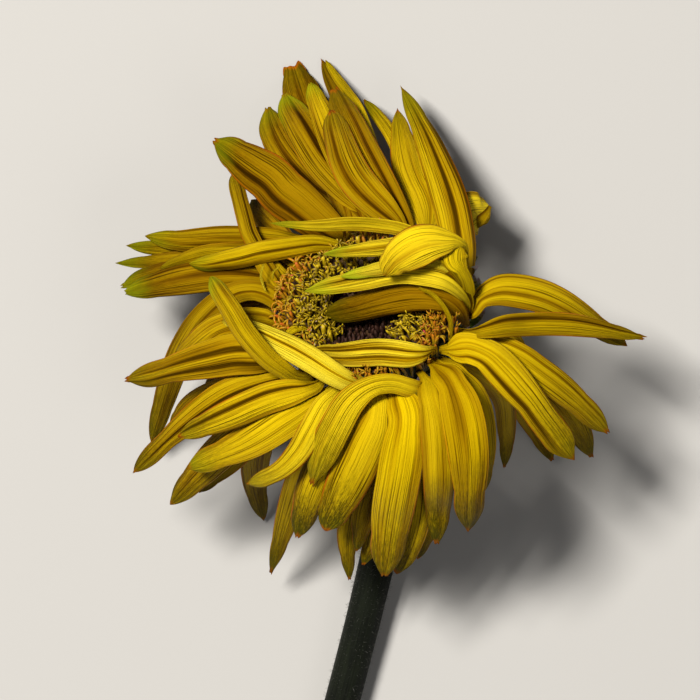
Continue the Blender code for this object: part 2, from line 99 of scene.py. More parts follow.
class Bench:
    """A node tree under construction, for a material or for geometry."""

    def __init__(self, tree: bpy.types.NodeTree) -> None:
        """Work on a tree."""
        self.tree = tree

    def node(self, kind: str, inputs: dict[Any, Any] | None = None, **settings: Any) -> bpy.types.Node:
        """Add one node.

        Args:
            kind: The node's type name.
            inputs: Values or links for its sockets, by socket name or index.
            settings: Its properties, which are set first.

        Returns:
            The new node.
        """
        item = self.tree.nodes.new(kind)
        for name, value in settings.items():
            setattr(item, name, value)
        for key, value in (inputs or {}).items():
            self.fill(item.inputs[key], value)
        return item

    def value(self, kind: str, inputs: dict[Any, Any] | None = None, key: Any = 0, **settings: Any) -> Shade:
        """Add one node and return one of its outputs, by name or index."""
        return self.out(self.node(kind, inputs, **settings), key)

    def out(self, node: bpy.types.Node, key: Any = 0) -> Shade:
        """Return one output of a node."""
        return Shade(self, node.outputs[key])

    def fill(self, socket: bpy.types.NodeSocket, value: Any) -> None:
        """Give a socket a link, from an output, or a plain value."""
        if isinstance(value, Shade):
            self.tree.links.new(value.socket, socket)
        elif isinstance(value, tuple) and socket.type == "RGBA":
            socket.default_value = (*value, 1.0)
        else:
            socket.default_value = value

    def math(self, operation: str, first: Any, second: Any = 0.0, clamp: bool = False) -> Shade:
        """Add a Math node."""
        return self.value("ShaderNodeMath", {0: first, 1: second}, operation=operation, use_clamp=clamp)

    def clamped(self, value: Shade) -> Shade:
        """Return a value held between 0 and 1."""
        return self.math("ADD", value, 0.0, clamp=True)

    def smooth(self, value: Any, low: float, high: float) -> Shade:
        """Return 0 below low, 1 above high, and an eased value between them."""
        return self.value("ShaderNodeMapRange", {"Value": value, "From Min": low, "From Max": high},
                          interpolation_type="SMOOTHSTEP")

    def mix(self, factor: Any, first: Any, second: Any, blend: str = "MIX") -> Shade:
        """Return a colour mixed from two others."""
        return self.value("ShaderNodeMix", {0: factor, 6: first, 7: second}, 2, data_type="RGBA",
                          blend_type=blend)

    def ramp(self, value: Any, stops: Sequence[tuple[float, Colour]]) -> Shade:
        """Return the colour at a value on a ramp of stops.

        Args:
            value: The place on the ramp.
            stops: Places on the ramp, with their colours.

        Returns:
            The colour.
        """
        node = self.node("ShaderNodeValToRGB", {0: value})
        marks = node.color_ramp.elements
        marks.remove(marks[-1])
        for index, (position, colour) in enumerate(stops):
            mark = marks.new(position) if index else marks[0]
            mark.position = position
            mark.color = (*colour, 1.0)
        return self.out(node)

    def noise(self, vector: Any, scale: float, detail: float = 3.0, roughness: float = 0.55) -> Shade:
        """Return a noise between 0 and 1."""
        return self.value("ShaderNodeTexNoise", {
            "Vector": vector, "Scale": scale, "Detail": detail, "Roughness": roughness})

    def combine(self, x: Any, y: Any, z: Any) -> Shade:
        """Return a vector of three values."""
        return self.value("ShaderNodeCombineXYZ", {0: x, 1: y, 2: z})

    def separate(self, vector: Any) -> list[Shade]:
        """Return the three parts of a vector."""
        node = self.node("ShaderNodeSeparateXYZ", {0: vector})
        return [self.out(node, index) for index in range(3)]

    def bump(self, height: Any, strength: float, distance: float) -> Shade:
        """Return the normal of a bumped surface, with the distance in metres."""
        return self.value("ShaderNodeBump", {"Height": height, "Strength": strength, "Distance": distance})

    def blade(self) -> list[Shade]:
        """Return the places across and along a piece that its blade UV map gives, from 0 to 1."""
        return self.separate(self.value("ShaderNodeUVMap", uv_map=BLADE_MAP))[:2]

    def place(self) -> Shade:
        """Return the place on the object, in metres."""
        return self.value("ShaderNodeTexCoord", key="Object")

    def stored(self, name: str) -> list[Shade]:
        """Return the four numbers that add_colours has stored under a name."""
        node = self.node("ShaderNodeAttribute", attribute_name=name)
        return [*self.separate(self.out(node, 1)), self.out(node, 3)]

    def principled(self, colour: Any, roughness: Any, normal: Any, specular: float, **others: Any) -> Shade:
        """Return a Principled shader.

        Args:
            colour: Its base colour.
            roughness: Its roughness.
            normal: Its normal, or None for the surface's own.
            specular: Its specular level.
            others: Further inputs, with spaces in their names as underscores.

        Returns:
            The shader.
        """
        inputs = {key.replace("_", " "): value for key, value in others.items()}
        if normal is not None:
            inputs["Normal"] = normal
        return self.value("ShaderNodeBsdfPrincipled", {
            "Base Color": colour, "Roughness": roughness, "Specular IOR Level": specular, **inputs})


class Grove(Bench):
    """A geometry tree with named inputs that ends in realized instances of one material."""

    def __init__(self, name: str, **inputs: str) -> None:
        """Start a tree, given the kind of each named input beside its geometry, seed and material.

        Args:
            name: The tree's name.
            inputs: The kind of each input, by its name.
        """
        super().__init__(bpy.data.node_groups.new(name, "GeometryNodeTree"))
        self.idents: dict[str, str] = {}
        for key, kind in {"Geometry": "Geometry", **inputs, "Seed": "Int", "Material": "Material"}.items():
            item = self.tree.interface.new_socket(key, in_out="INPUT", socket_type="NodeSocket" + kind)
            self.idents[key] = item.identifier
        self.tree.interface.new_socket("Geometry", in_out="OUTPUT", socket_type="NodeSocketGeometry")
        self.entry = self.tree.nodes.new("NodeGroupInput")

    def read(self, *names: str) -> list[Shade]:
        """Return the values of named inputs."""
        return [self.out(self.entry, name) for name in names]

    def random(self, low: Any, high: Any, seed: Any, kind: str = "FLOAT") -> Shade:
        """Return a random value for each point, between low and high."""
        first, output = {"FLOAT_VECTOR": (0, 0), "FLOAT": (2, 1), "INT": (4, 2)}[kind]
        return self.value("FunctionNodeRandomValue", {first: low, first + 1: high, "Seed": seed}, output,
                          data_type=kind)

    def close(self, instances: Shade) -> None:
        """Realize the instances, set their material and end the tree.

        Args:
            instances: The instances.
        """
        real = self.value("GeometryNodeRealizeInstances", {0: instances})
        done = self.value("GeometryNodeSetMaterial", {"Geometry": real, "Material": self.read("Material")[0]})
        self.node("NodeGroupOutput", {0: done})

    def grow(self, name: str, host: bpy.types.Mesh, values: dict[str, Any],
             place: Matrix | None = None) -> bpy.types.Object:
        """Run the tree once and return its result as a plain mesh piece.

        Args:
            name: The piece's name.
            host: The mesh that the tree is given.
            values: A value for each named input.
            place: A matrix that takes the result to its place.

        Returns:
            The new piece, at the origin.
        """
        carrier = bpy.data.objects.new(name + "_carrier", host)
        bpy.context.scene.collection.objects.link(carrier)
        modifier = carrier.modifiers.new("grow", "NODES")
        modifier.node_group = self.tree
        for key, value in values.items():
            modifier[self.idents[key]] = value
        graph = bpy.context.evaluated_depsgraph_get()
        mesh = bpy.data.meshes.new_from_object(carrier.evaluated_get(graph), depsgraph=graph)
        bpy.data.objects.remove(carrier, do_unlink=True)
        if place is not None:
            mesh.transform(place)
        mesh.name = name
        return shown(name, mesh)


# ---- Finishes ----


@dataclass(frozen=True)
class Finish:
    """Base of every finish: a named material that builds its own nodes."""

    name: str

    def material(self) -> bpy.types.Material:
        """Return this finish's material, made the first time that it is asked for.

        Returns:
            The material.
        """
        known = bpy.data.materials.get("finish_" + self.name)
        if known:
            return known
        item = bpy.data.materials.new("finish_" + self.name)
        item.use_nodes = True
        item.node_tree.nodes.clear()
        bench = Bench(item.node_tree)
        bench.node("ShaderNodeOutputMaterial", {"Surface": self.surface(bench)})
        return item

    def surface(self, bench: Bench) -> Shade:
        """Return the shader of this finish."""
        raise NotImplementedError


@dataclass(frozen=True)
class PetalFinish(Finish):
    """Skin of a ray petal: golden, lined along its length, with green or dried tips.

    It reads the blade UV map, the habit attribute (green tip, dried edge, paleness, which also paints
    highlights, and age, which also paints shade) and the relief attribute (height of the fold, lower
    face, seed, painted shade towards the tip).
    """

    deep: Colour = (0.10, 0.049, 0.0)
    golden: Colour = (0.52, 0.292, 0.0)
    lemon: Colour = (0.92, 0.64, 0.0005)
    cream: Colour = (0.98, 0.82, 0.06)
    aged: Colour = (0.34, 0.25, 0.20)
    olive: Colour = (0.060, 0.044, 0.0005)
    heel: Colour = (0.34, 0.18, 0.001)
    green: Colour = (0.25, 0.31, 0.003)
    lime: Colour = (0.74, 0.86, 0.02)
    orange: Colour = (0.50, 0.135, 0.003)
    brown: Colour = (0.10, 0.020, 0.006)
    glow: Colour = (0.92, 0.56, 0.0)
    shine: Colour = (1.0, 0.78, 0.06)
    glow_share: float = 0.12
    relief_depth: float = 0.0005

    def surface(self, bench: Bench) -> Shade:
        """Return the petal's shader.

        Args:
            bench: The material's node tree.

        Returns:
            The shader.
        """
        side, along = bench.blade()
        green, dry, pale, age = bench.stored("habit")
        ridge, lower, seed, shade = bench.stored("relief")
        mix, smooth, clamped = bench.mix, bench.smooth, bench.clamped
        shift = seed * 37.0
        band = bench.noise(bench.combine(side * 6.0, along * 0.7, shift), 1.0, 3.0, 0.5)
        line = bench.noise(bench.combine(side * 34.0, along * 1.3, shift + 3.0), 1.0, 2.0, 0.6)
        cloud = bench.noise(bench.combine(side * 1.6, along * 2.6, shift + 9.0), 1.0, 3.0, 0.6)
        fleck = bench.noise(bench.combine(side * 26.0, along * 30.0, shift + 5.0), 1.0, 3.0, 0.7)
        rim = bench.math("ABSOLUTE", side * 2.0 - 1.0)
        far = smooth(along, 0.25, 1.0)
        # Painted shade in the tone: darker in the grooves of the folds and towards the edges, lighter with
        # pale as painted highlight; band, cloud and line vary it at random, and it is a little darker towards
        # the tip
        tone = ((band - 0.5) * 0.8 + (ridge - 0.7) * 0.8 + (cloud - 0.5) * 0.5
                + (line - 0.5) * (0.8 - shade * 0.4) + 0.55 - far * 0.10 + pale * 0.24
                - smooth(rim, 0.50, 1.0) * 0.24)
        colour = bench.ramp(tone, ((0.0, self.deep), (0.36, self.golden), (0.74, self.lemon)))
        # Painted highlight: on pale petals the ridges and fine lines go cream
        colour = mix(clamped(pale * (ridge * 1.2 + line * 1.4 - 1.0)), colour, self.cream)
        veins = smooth(line, 0.46, 0.37) * smooth(cloud + far, 0.2, 1.1)
        colour = mix(clamped(veins * 0.9), colour, self.deep)
        last = smooth(along + (cloud - 0.5) * 0.5, 0.45, 1.05)
        mottle = smooth(fleck * 0.5 + line * 0.3 + last * 0.2, 0.41, 0.68)
        mottle = mottle * (far * 0.8 + last * 0.5) * (shade * 0.95 + 0.05)
        colour = mix(clamped(mottle), colour, self.olive)
        # Painted shade: the far half goes olive-dark by the petal's shade
        colour = mix(clamped(shade * last * 0.3), colour, self.olive)
        # Painted shade as well as browning: age darkens the whole petal, more in the grooves of its folds
        colour = mix(clamped(age * (1.2 - ridge * 0.3)), colour, self.aged, "MULTIPLY")
        colour = mix(lower * 0.3, colour, self.aged, "MULTIPLY")
        # Painted shade: the foot of each petal, near the disc, goes darker orange
        colour = mix((1.0 - smooth(along, 0.0, 0.10)) * 0.55, colour, self.heel)
        leafy = smooth(along + (cloud - 0.5) * 0.25 + rim * 0.05, 0.82, 1.03)
        colour = mix(clamped(leafy * green), colour, mix(clamped(pale * 1.6), self.green, self.lime))
        ragged = along + (line - 0.5) * 0.05 + (cloud - 0.5) * 0.06
        edge = smooth(rim, 0.87, 0.97) * smooth(along, 0.10, 0.65) * smooth(cloud, 0.36, 0.64)
        scorch = bench.math("MAXIMUM", smooth(ragged, 0.965, 1.0), edge)
        colour = mix(clamped(scorch * dry), colour, self.orange)
        burnt = smooth(ragged + edge * 0.02, 0.985, 1.02)
        colour = mix(clamped(burnt * dry * dry), colour, self.brown)
        normal = bench.bump(band * 0.5 + line * (1.0 - shade * 0.45) + fleck * 0.25, 1.0, self.relief_depth)
        skin = bench.principled(colour, 0.38 + cloud * 0.2, normal, 0.09, Specular_Tint=self.shine)
        glow = bench.value("ShaderNodeBsdfTranslucent", {
            "Color": mix(0.5, colour, self.glow), "Normal": normal})
        return bench.value("ShaderNodeMixShader", {0: self.glow_share, 1: skin, 2: glow})


@dataclass(frozen=True)
class TissueFinish(Finish):
    """Plant tissue of two tones with a mottled grain, for the disc's bed, the cup and the hairs."""

    dark: Colour
    light: Colour
    fleck: Colour
    fleck_share: float = 0.1
    grain: float = 900.0
    roughness: float = 0.6

    def surface(self, bench: Bench) -> Shade:
        """Return the tissue's shader.

        Args:
            bench: The material's node tree.

        Returns:
            The shader.
        """
        place = bench.place()
        broad = bench.noise(place, self.grain * 0.3, 3.0)
        fine = bench.noise(place, self.grain, 4.0, 0.6)
        colour = bench.mix(bench.smooth(broad * 0.6 + fine * 0.4, 0.32, 0.66), self.dark, self.light)
        flecks = bench.smooth(bench.noise(place, self.grain * 0.8, 1.0), 0.72 - self.fleck_share, 0.78)
        return bench.principled(bench.mix(flecks, colour, self.fleck), self.roughness - 0.1 + fine * 0.2,
                                bench.bump(fine, 0.6, 0.0002), 0.3)


@dataclass(frozen=True)
class TipFinish(Finish):
    """Tissue that changes from its foot to its tip, read from the blade UV map."""

    foot: Colour
    middle: Colour
    tip: Colour
    fleck: Colour
    fleck_share: float = 0.0
    roughness: float = 0.5

    def surface(self, bench: Bench) -> Shade:
        """Return the tissue's shader.

        Args:
            bench: The material's node tree.

        Returns:
            The shader.
        """
        place = bench.place()
        blotch = bench.noise(place, 420.0, 2.0)
        fine = bench.noise(place, 2600.0, 3.0)
        speck = bench.noise(place, 1500.0, 1.0)
        level = bench.blade()[1] + (blotch - 0.5) * 0.45
        colour = bench.ramp(level, ((0.05, self.foot), (0.55, self.middle), (0.92, self.tip)))
        colour = bench.mix(bench.smooth(fine, 0.35, 0.75) * 0.35, colour, self.foot)
        rare = 0.72 - self.fleck_share
        colour = bench.mix(bench.smooth(speck, rare, rare + 0.04), colour, self.fleck)
        normal = bench.bump(fine, 0.5, 0.0001)
        return bench.principled(colour, self.roughness - 0.1 + blotch * 0.2, normal, 0.2)


@dataclass(frozen=True)
class StemFinish(Finish):
    """Skin of the stem: dull green darkened near to black by painted shade, ribbed along it, with a felt of
    pale hairs.
    """

    dark: Colour = (0.0035, 0.0045, 0.0025)
    light: Colour = (0.0085, 0.011, 0.0055)
    bloom: Colour = (0.022, 0.024, 0.020)

    def surface(self, bench: Bench) -> Shade:
        """Return the stem's shader.

        Args:
            bench: The material's node tree.

        Returns:
            The shader.
        """
        side, along = bench.blade()
        place = bench.place()
        turn = side * (2.0 * math.pi)
        ring = bench.combine(bench.math("COSINE", turn) * 4.0, bench.math("SINE", turn) * 4.0, along * 7.0)
        ribs = bench.noise(ring, 2.2, 3.0, 0.6)
        felt = bench.noise(place, 2400.0, 3.0, 0.6)
        patch = bench.noise(place, 95.0, 3.0)
        colour = bench.mix(bench.smooth(ribs * 0.6 + patch * 0.4, 0.36, 0.66), self.dark, self.light)
        colour = bench.mix(bench.smooth(felt, 0.52, 0.74) * 0.45, colour, self.bloom)
        return bench.principled(colour, 0.62 + felt * 0.25, bench.bump(ribs * 0.7 + felt * 0.3, 0.7, 0.0004),
                                0.07, Sheen_Weight=0.05, Sheen_Roughness=0.5)


@dataclass(frozen=True)
class FloorFinish(Finish):
    """Plain pale floor."""

    colour: Colour = (0.53, 0.52, 0.50)

    def surface(self, bench: Bench) -> Shade:
        """Return the floor's shader."""
        return bench.principled(self.colour, 0.9, None, 0.1)


PETAL = PetalFinish("petal")


# ---- Shapes ----


def eased(value: np.ndarray | float, low: float = 0.0, high: float = 1.0) -> np.ndarray:
    """Return 0 below low, 1 above high, and a smooth step between them."""
    share = np.clip((np.asarray(value, float) - low) / (high - low), 0.0, 1.0)
    return share * share * (3.0 - 2.0 * share)


def unit(vectors: np.ndarray) -> np.ndarray:
    """Return vectors of length 1."""
    return vectors / np.maximum(np.linalg.norm(vectors, axis=-1, keepdims=True), 1e-12)


def level_direction(turn: float) -> np.ndarray:
    """Return the direction at an angle in radians, across the axis z."""
    return np.array((math.cos(turn), math.sin(turn), 0.0))


def with_ends(points: np.ndarray) -> np.ndarray:
    """Return a row of points with one more at each end, straight on."""
    return np.vstack((points[0] * 2 - points[1], points, points[-1] * 2 - points[-2]))


def curve_through(points: np.ndarray, count: int) -> np.ndarray:
    """Draw a Catmull-Rom curve through rows of points.

    Args:
        points: The points, one a row, of any number of columns.
        count: How many points of the curve to return.

    Returns:
        Points of the curve, evenly spaced by the index of the given ones.
    """
    places = np.linspace(0.0, len(points) - 1.0, count)
    index = np.minimum(places.astype(int), len(points) - 2)
    part = (places - index)[:, None]
    before, start, end, after = (with_ends(points)[index + step] for step in range(4))
    bend = before * 2 - start * 5 + end * 4 - after
    turn = start * 3 - before - end * 3 + after
    return 0.5 * (start * 2 + (end - before) * part + bend * part ** 2 + turn * part ** 3)


def directions_of(points: np.ndarray) -> np.ndarray:
    """Return the direction of travel at each point of a route."""
    ends = with_ends(points)
    return unit(ends[2:] - ends[:-2])


def points_of(item: bpy.types.Object) -> np.ndarray:
    """Return the points of an object's mesh.

    Args:
        item: A mesh object.

    Returns:
        The points, one a row.
    """
    flat = np.empty(len(item.data.vertices) * 3, np.float64)
    item.data.vertices.foreach_get("co", flat)
    return flat.reshape(-1, 3)


def shown(name: str, mesh: bpy.types.Mesh) -> bpy.types.Object:
    """Return a new object in the scene with a smooth mesh.

    Args:
        name: The object's name.
        mesh: Its mesh.

    Returns:
        The new object.
    """
    mesh.shade_smooth()
    item = bpy.data.objects.new(name, mesh)
    bpy.context.scene.collection.objects.link(item)
    return item


def add_piece(name: str, shape: Shape, material: bpy.types.Material) -> bpy.types.Object:
    """Add one smooth mesh piece.

    Args:
        name: The piece's name.
        shape: Its points in metres, its faces, and its UV places or None.
        material: Its material.

    Returns:
        The new object.
    """
    points, faces, uvs = shape
    mesh = bpy.data.meshes.new(name)
    mesh.from_pydata(points.tolist(), [], faces)
    mesh.materials.append(material)
    if uvs is not None:
        layer = mesh.uv_layers.new(name=BLADE_MAP)
        corners = np.empty(len(mesh.loops), np.int32)
        mesh.loops.foreach_get("vertex_index", corners)
        layer.data.foreach_set("uv", uvs[corners].astype(np.float32).ravel())
    return shown(name, mesh)


def add_closed(name: str, shape: Shape, material: bpy.types.Material) -> bpy.types.Object:
    """Add one closed mesh piece with every face turned outwards.

    Args:
        name: The piece's name.
        shape: Its points in metres, its faces, and its UV places or None.
        material: Its material.

    Returns:
        The new object.
    """
    item = add_piece(name, shape, material)
    mesh = bmesh.new()
    mesh.from_mesh(item.data)
    bmesh.ops.recalc_face_normals(mesh, faces=mesh.faces[:])
    if mesh.calc_volume(signed=True) < 0.0:
        bmesh.ops.reverse_faces(mesh, faces=mesh.faces[:])
    mesh.to_mesh(item.data)
    mesh.free()
    return item


def put_away(item: bpy.types.Object) -> bpy.types.Object:
    """Take an object out of the scene, for other pieces to be made from, and return it."""
    bpy.context.scene.collection.objects.unlink(item)
    return item


def add_colours(item: bpy.types.Object, name: str, *values: np.ndarray | float) -> None:
    """Store four numbers for each point of a mesh under a name.

    Args:
        item: The mesh object.
        name: The name to store them under.
        values: The four numbers, each one for all the points or one for each.
    """
    layer = item.data.attributes.new(name, "FLOAT_COLOR", "POINT")
    rows = [np.broadcast_to(value, len(item.data.vertices)) for value in values]
    layer.data.foreach_set("color", np.stack(rows, axis=1).astype(np.float32).ravel())


def grid(rows: int, columns: int, start: int = 0, wrap: bool = False) -> np.ndarray:
    """Return a grid of point numbers, with its first column once more at its end if it wraps."""
    numbers = start + np.arange(rows * columns).reshape(rows, columns)
    return np.hstack((numbers, numbers[:, :1])) if wrap else numbers


def quads(numbers: np.ndarray) -> list[tuple[int, ...]]:
    """Return the four corners of each cell of a grid of point numbers."""
    corners = np.stack((numbers[:-1, :-1], numbers[:-1, 1:], numbers[1:, 1:], numbers[1:, :-1]), axis=2)
    return [tuple(cell) for cell in corners.reshape(-1, 4).tolist()]


def uv_places(across: np.ndarray, along: np.ndarray) -> np.ndarray:
    """Return the UV place of each point of a grid, row by row."""
    return np.stack(np.meshgrid(across, along), axis=2).reshape(-1, 2)


def capped(rings: Sequence[np.ndarray]) -> tuple[np.ndarray, list[tuple[int, ...]]]:
    """Return the points and the faces of a closed shape through rings of points.

    Args:
        rings: The rings, each of the same number of points.

    Returns:
        The points and the faces.
    """
    sides = len(rings[0])
    last = (len(rings) - 1) * sides
    caps = [tuple(reversed(range(sides))), tuple(range(last, last + sides))]
    return np.vstack(rings), quads(grid(len(rings), sides, wrap=True)) + caps


def tube(points: Sequence[Sequence[float]], radii: Sequence[float], sides: int, sway: float = 0.0) -> Shape:
    """Return a closed round tube along a route.

    Args:
        points: The route.
        radii: The radius at each point.
        sides: The number of sides.
        sway: A turn of the cross-section, in radians.

    Returns:
        Its points, its faces and its UV places.
    """
    points = np.asarray(points, float)
    forward = directions_of(points)
    steep = abs(forward[0][2]) >= 0.9
    across = unit(np.cross(FORE if steep else UP, forward[0]))
    turns = sway + 2.0 * math.pi * np.arange(sides) / sides
    rings = []
    for centre, direction, radius in zip(points, forward, radii):
        across = unit(across - direction * np.dot(across, direction))
        over = np.cross(direction, across)
        rings.append(centre + (np.outer(np.cos(turns), across) + np.outer(np.sin(turns), over)) * radius)
    return *capped(rings), uv_places(np.arange(sides) / sides, np.linspace(0.0, 1.0, len(points)))


def joined(parts: Sequence[Shape]) -> Shape:
    """Return several shapes as one.

    Args:
        parts: The shapes, which all have UV places.

    Returns:
        The one shape.
    """
    faces, start = [], 0
    for points, sides, _ in parts:
        faces.extend(tuple(start + corner for corner in side) for side in sides)
        start += len(points)
    return np.vstack([part[0] for part in parts]), faces, np.vstack([part[2] for part in parts])


# ---- Head ----


def node_mesh(name: str) -> tuple[np.ndarray, list[set[int]]]:
    """Return a CAD node's own points, merged, and the numbers of each one's neighbours.

    Args:
        name: The node's name.

    Returns:
        Its points, and for each one the numbers of its neighbours.
    """
    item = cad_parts[name]
    points, index = np.unique(np.round(points_of(item), 6), axis=0, return_inverse=True)
    index = index.reshape(-1)
    near: list[set[int]] = [set() for _ in points]
    for polygon in item.data.polygons:
        corners = {int(index[corner]) for corner in polygon.vertices}
        for corner in corners:
            near[corner] |= corners - {corner}
    return points, near


def node_rings(points: np.ndarray, near: Sequence[set[int]], start: Iterable[int]) -> list[np.ndarray]:
    """Walk along a node's mesh ring by ring.

    Args:
        points: The node's points.
        near: The numbers of each point's neighbours.
        start: The numbers of the first ring's points.

    Returns:
        The points of each ring.
    """
    ring, seen, rings = set(start), set(), []
    while ring:
        rings.append(points[sorted(ring)])
        seen |= ring
        ring = {other for corner in ring for other in near[corner]} - seen
    return rings


@dataclass(frozen=True)
class Head:
    """The flower head's place: its centre, its axis and its two directions across, in metres."""

    centre: np.ndarray
    axis: np.ndarray
    across: np.ndarray
    along: np.ndarray
    radius: float

    @classmethod
    def from_frame(cls, seat_gap: float = 0.3) -> "Head":
        """Return the head's place, a seat's gap in millimetres under the ring of outer florets.

        Args:
            seat_gap: The gap between the centre and the ring, in millimetres.

        Returns:
            The head.
        """
        ring = node_mesh("outer_florets")[0]
        middle = ring.mean(0)
        axis = np.linalg.svd(ring - middle)[2][2]
        axis = axis * np.sign(axis[2])
        centre = middle + axis * (((ring - middle) @ axis).min() - seat_gap * MM)
        across = unit(FORE - axis * axis[0])
        spread = np.linalg.norm(np.cross(ring - middle, axis), axis=1)
        return cls(centre, axis, across, np.cross(axis, across), float(spread.max()))

    def radial(self, angle: float) -> np.ndarray:
        """Return the direction away from the axis at an angle in degrees."""
        turn = math.radians(angle)
        return self.across * math.cos(turn) + self.along * math.sin(turn)

    def place(self, spot: Sequence[float]) -> np.ndarray:
        """Return the point at an offset in millimetres from the head's centre, along x, y and z."""
        return self.centre + np.asarray(spot, float) * MM

    def measured(self, points: np.ndarray) -> tuple[np.ndarray, np.ndarray]:
        """Return how high points are over the head's centre and how far from its axis.

        Args:
            points: Points in metres, one a row.

        Returns:
            Their heights and their distances, in metres.
        """
        offset = points - self.centre
        height = offset @ self.axis
        return height, np.linalg.norm(offset - np.outer(height, self.axis), axis=1)

    def matrix(self) -> Matrix:
        """Return the matrix from the head's own millimetres, with its axis as z, to metres."""
        full = np.eye(4)
        full[:3, :3] = np.stack((self.across, self.along, self.axis), axis=1) * MM
        full[:3, 3] = self.centre
        return Matrix(full.tolist())


# ---- Petals ----


@dataclass(frozen=True)
class Spine:
    """A petal's middle line, with its half width and its direction across at each point.

    The normals point to the petal's crown, which is the side that is turned up.
    """

    points: np.ndarray
    halves: np.ndarray
    across: np.ndarray

    @property
    def normals(self) -> np.ndarray:
        """Return the direction of the crown at each point."""
        return np.cross(directions_of(self.points), self.across)

    @classmethod
    def turned_up(cls, points: np.ndarray, halves: np.ndarray, across: np.ndarray) -> "Spine":
        """Return a spine whose crown is up, from directions across of either sign.

        Args:
            points: The middle line.
            halves: The half width at each point.
            across: A direction across at each point.

        Returns:
            The spine.
        """
        forward = directions_of(points)
        across = unit(across - forward * np.sum(across * forward, axis=1, keepdims=True))
        up = float(np.sum(np.cross(forward, across) @ UP))
        return cls(points, halves, across * math.copysign(1.0, up))

    @classmethod
    def from_node(cls, name: str, head: Head, section: int = 8, least: float = 1.0) -> "Spine":
        """Return the spine of a CAD petal, found ring by ring from its seat on the head's rim.

        Args:
            name: The CAD node's name.
            head: The flower's head.
            section: The number of points round a section of the node.
            least: The width in millimetres under which a ring keeps the direction of the last one.

        Returns:
            The spine.
        """
        points, near = node_mesh(name)
        height, reach = head.measured(points)
        from_rim = np.hypot(reach - head.radius, height)
        rings = node_rings(points, near, np.argsort(from_rim)[:section].tolist())
        halves, sides = [], []
        for ring in rings:
            gaps = np.linalg.norm(ring[:, None] - ring[None, :], axis=2)
            first, second = np.unravel_index(gaps.argmax(), gaps.shape)
            side = unit(ring[second] - ring[first])
            if sides and np.dot(side, sides[-1]) < 0.0:
                side = -side
            if sides and gaps.max() < least * MM:
                side = sides[-1]
            sides.append(side)
            halves.append(gaps.max() / 2.0)
        return cls.turned_up(np.array([ring.mean(0) for ring in rings]), np.array(halves), np.array(sides))

    @classmethod
    def from_route(cls, route: Route, head: Head, steepest: float = 0.25) -> "Spine":
        """Return the spine of a petal that follows a route and lies level across.

        Args:
            route: The petal's route.
            head: The flower's head.
            steepest: The level part of its direction under which it keeps its last direction across.

        Returns:
            The spine.
        """
        rows = np.asarray(route, float)
        points = curve_through(np.array([head.place(row[:3]) for row in rows]), 4 * len(rows))
        halves = np.maximum(curve_through(rows[:, 3:4], 4 * len(rows))[:, 0], 0.2) * MM
        levels = np.cross(UP, directions_of(points))
        for index in range(1, len(levels)):
            if np.linalg.norm(levels[index]) < steepest:
                levels[index] = levels[index - 1]
            if np.dot(levels[index], levels[index - 1]) < 0.0:
                levels[index] = -levels[index]
        return cls.turned_up(points, halves, unit(levels))

    def resampled(self, count: int) -> "Spine":
        """Return the same spine with another number of points.

        Args:
            count: The number of points.

        Returns:
            The new spine.
        """
        points = curve_through(self.points, count)
        halves = np.maximum(curve_through(self.halves[:, None], count)[:, 0], 0.15 * MM)
        return Spine.turned_up(points, halves, curve_through(self.across, count))


class Tip(Enum):
    """How the end of a petal is cut: the share of its width that it keeps, its notch and its teeth."""

    PLAIN = (0.05, 0.0, 0.004)
    NOTCHED = (0.26, 0.011, 0.003)
    RAGGED = (0.40, 0.020, 0.006)
    BROAD = (0.62, 0.030, 0.010)


@dataclass(frozen=True)
class Ray:
    """The look of one ray petal.

    The curl is the angle that its edges turn down, or up below 0, and grooves is the number
    of folds along it. Lasting is how much of their depth is left at the tip. Point runs from
    0, a round end, to 1, a sharp one, and foot is the width of the foot as a share of the
    petal's. Green and dry colour the tip and the far edges. Pale lightens the petal and paints
    cream highlights on its ridges and fine lines. Age browns and deepens the whole petal and
    also paints shade on it, most in the grooves, and shade paints an olive-dark shade on its far
    half and sets how much olive mottle is there: each runs from 0 to about 1. Creases are the
    places of sharp deep folds, from -1 on the petal's right edge to 1 on its left.
    """

    grooves: int = 3
    depth: float = 0.28
    curl: float = 0.42
    lasting: float = 0.35
    wave: float = 0.25
    tip: Tip = Tip.PLAIN
    point: float = 0.3
    foot: float = 0.5
    green: float = 0.1
    dry: float = 0.75
    pale: float = 0.1
    age: float = 0.0
    shade: float = 0.3
    creases: tuple[float, ...] = ()


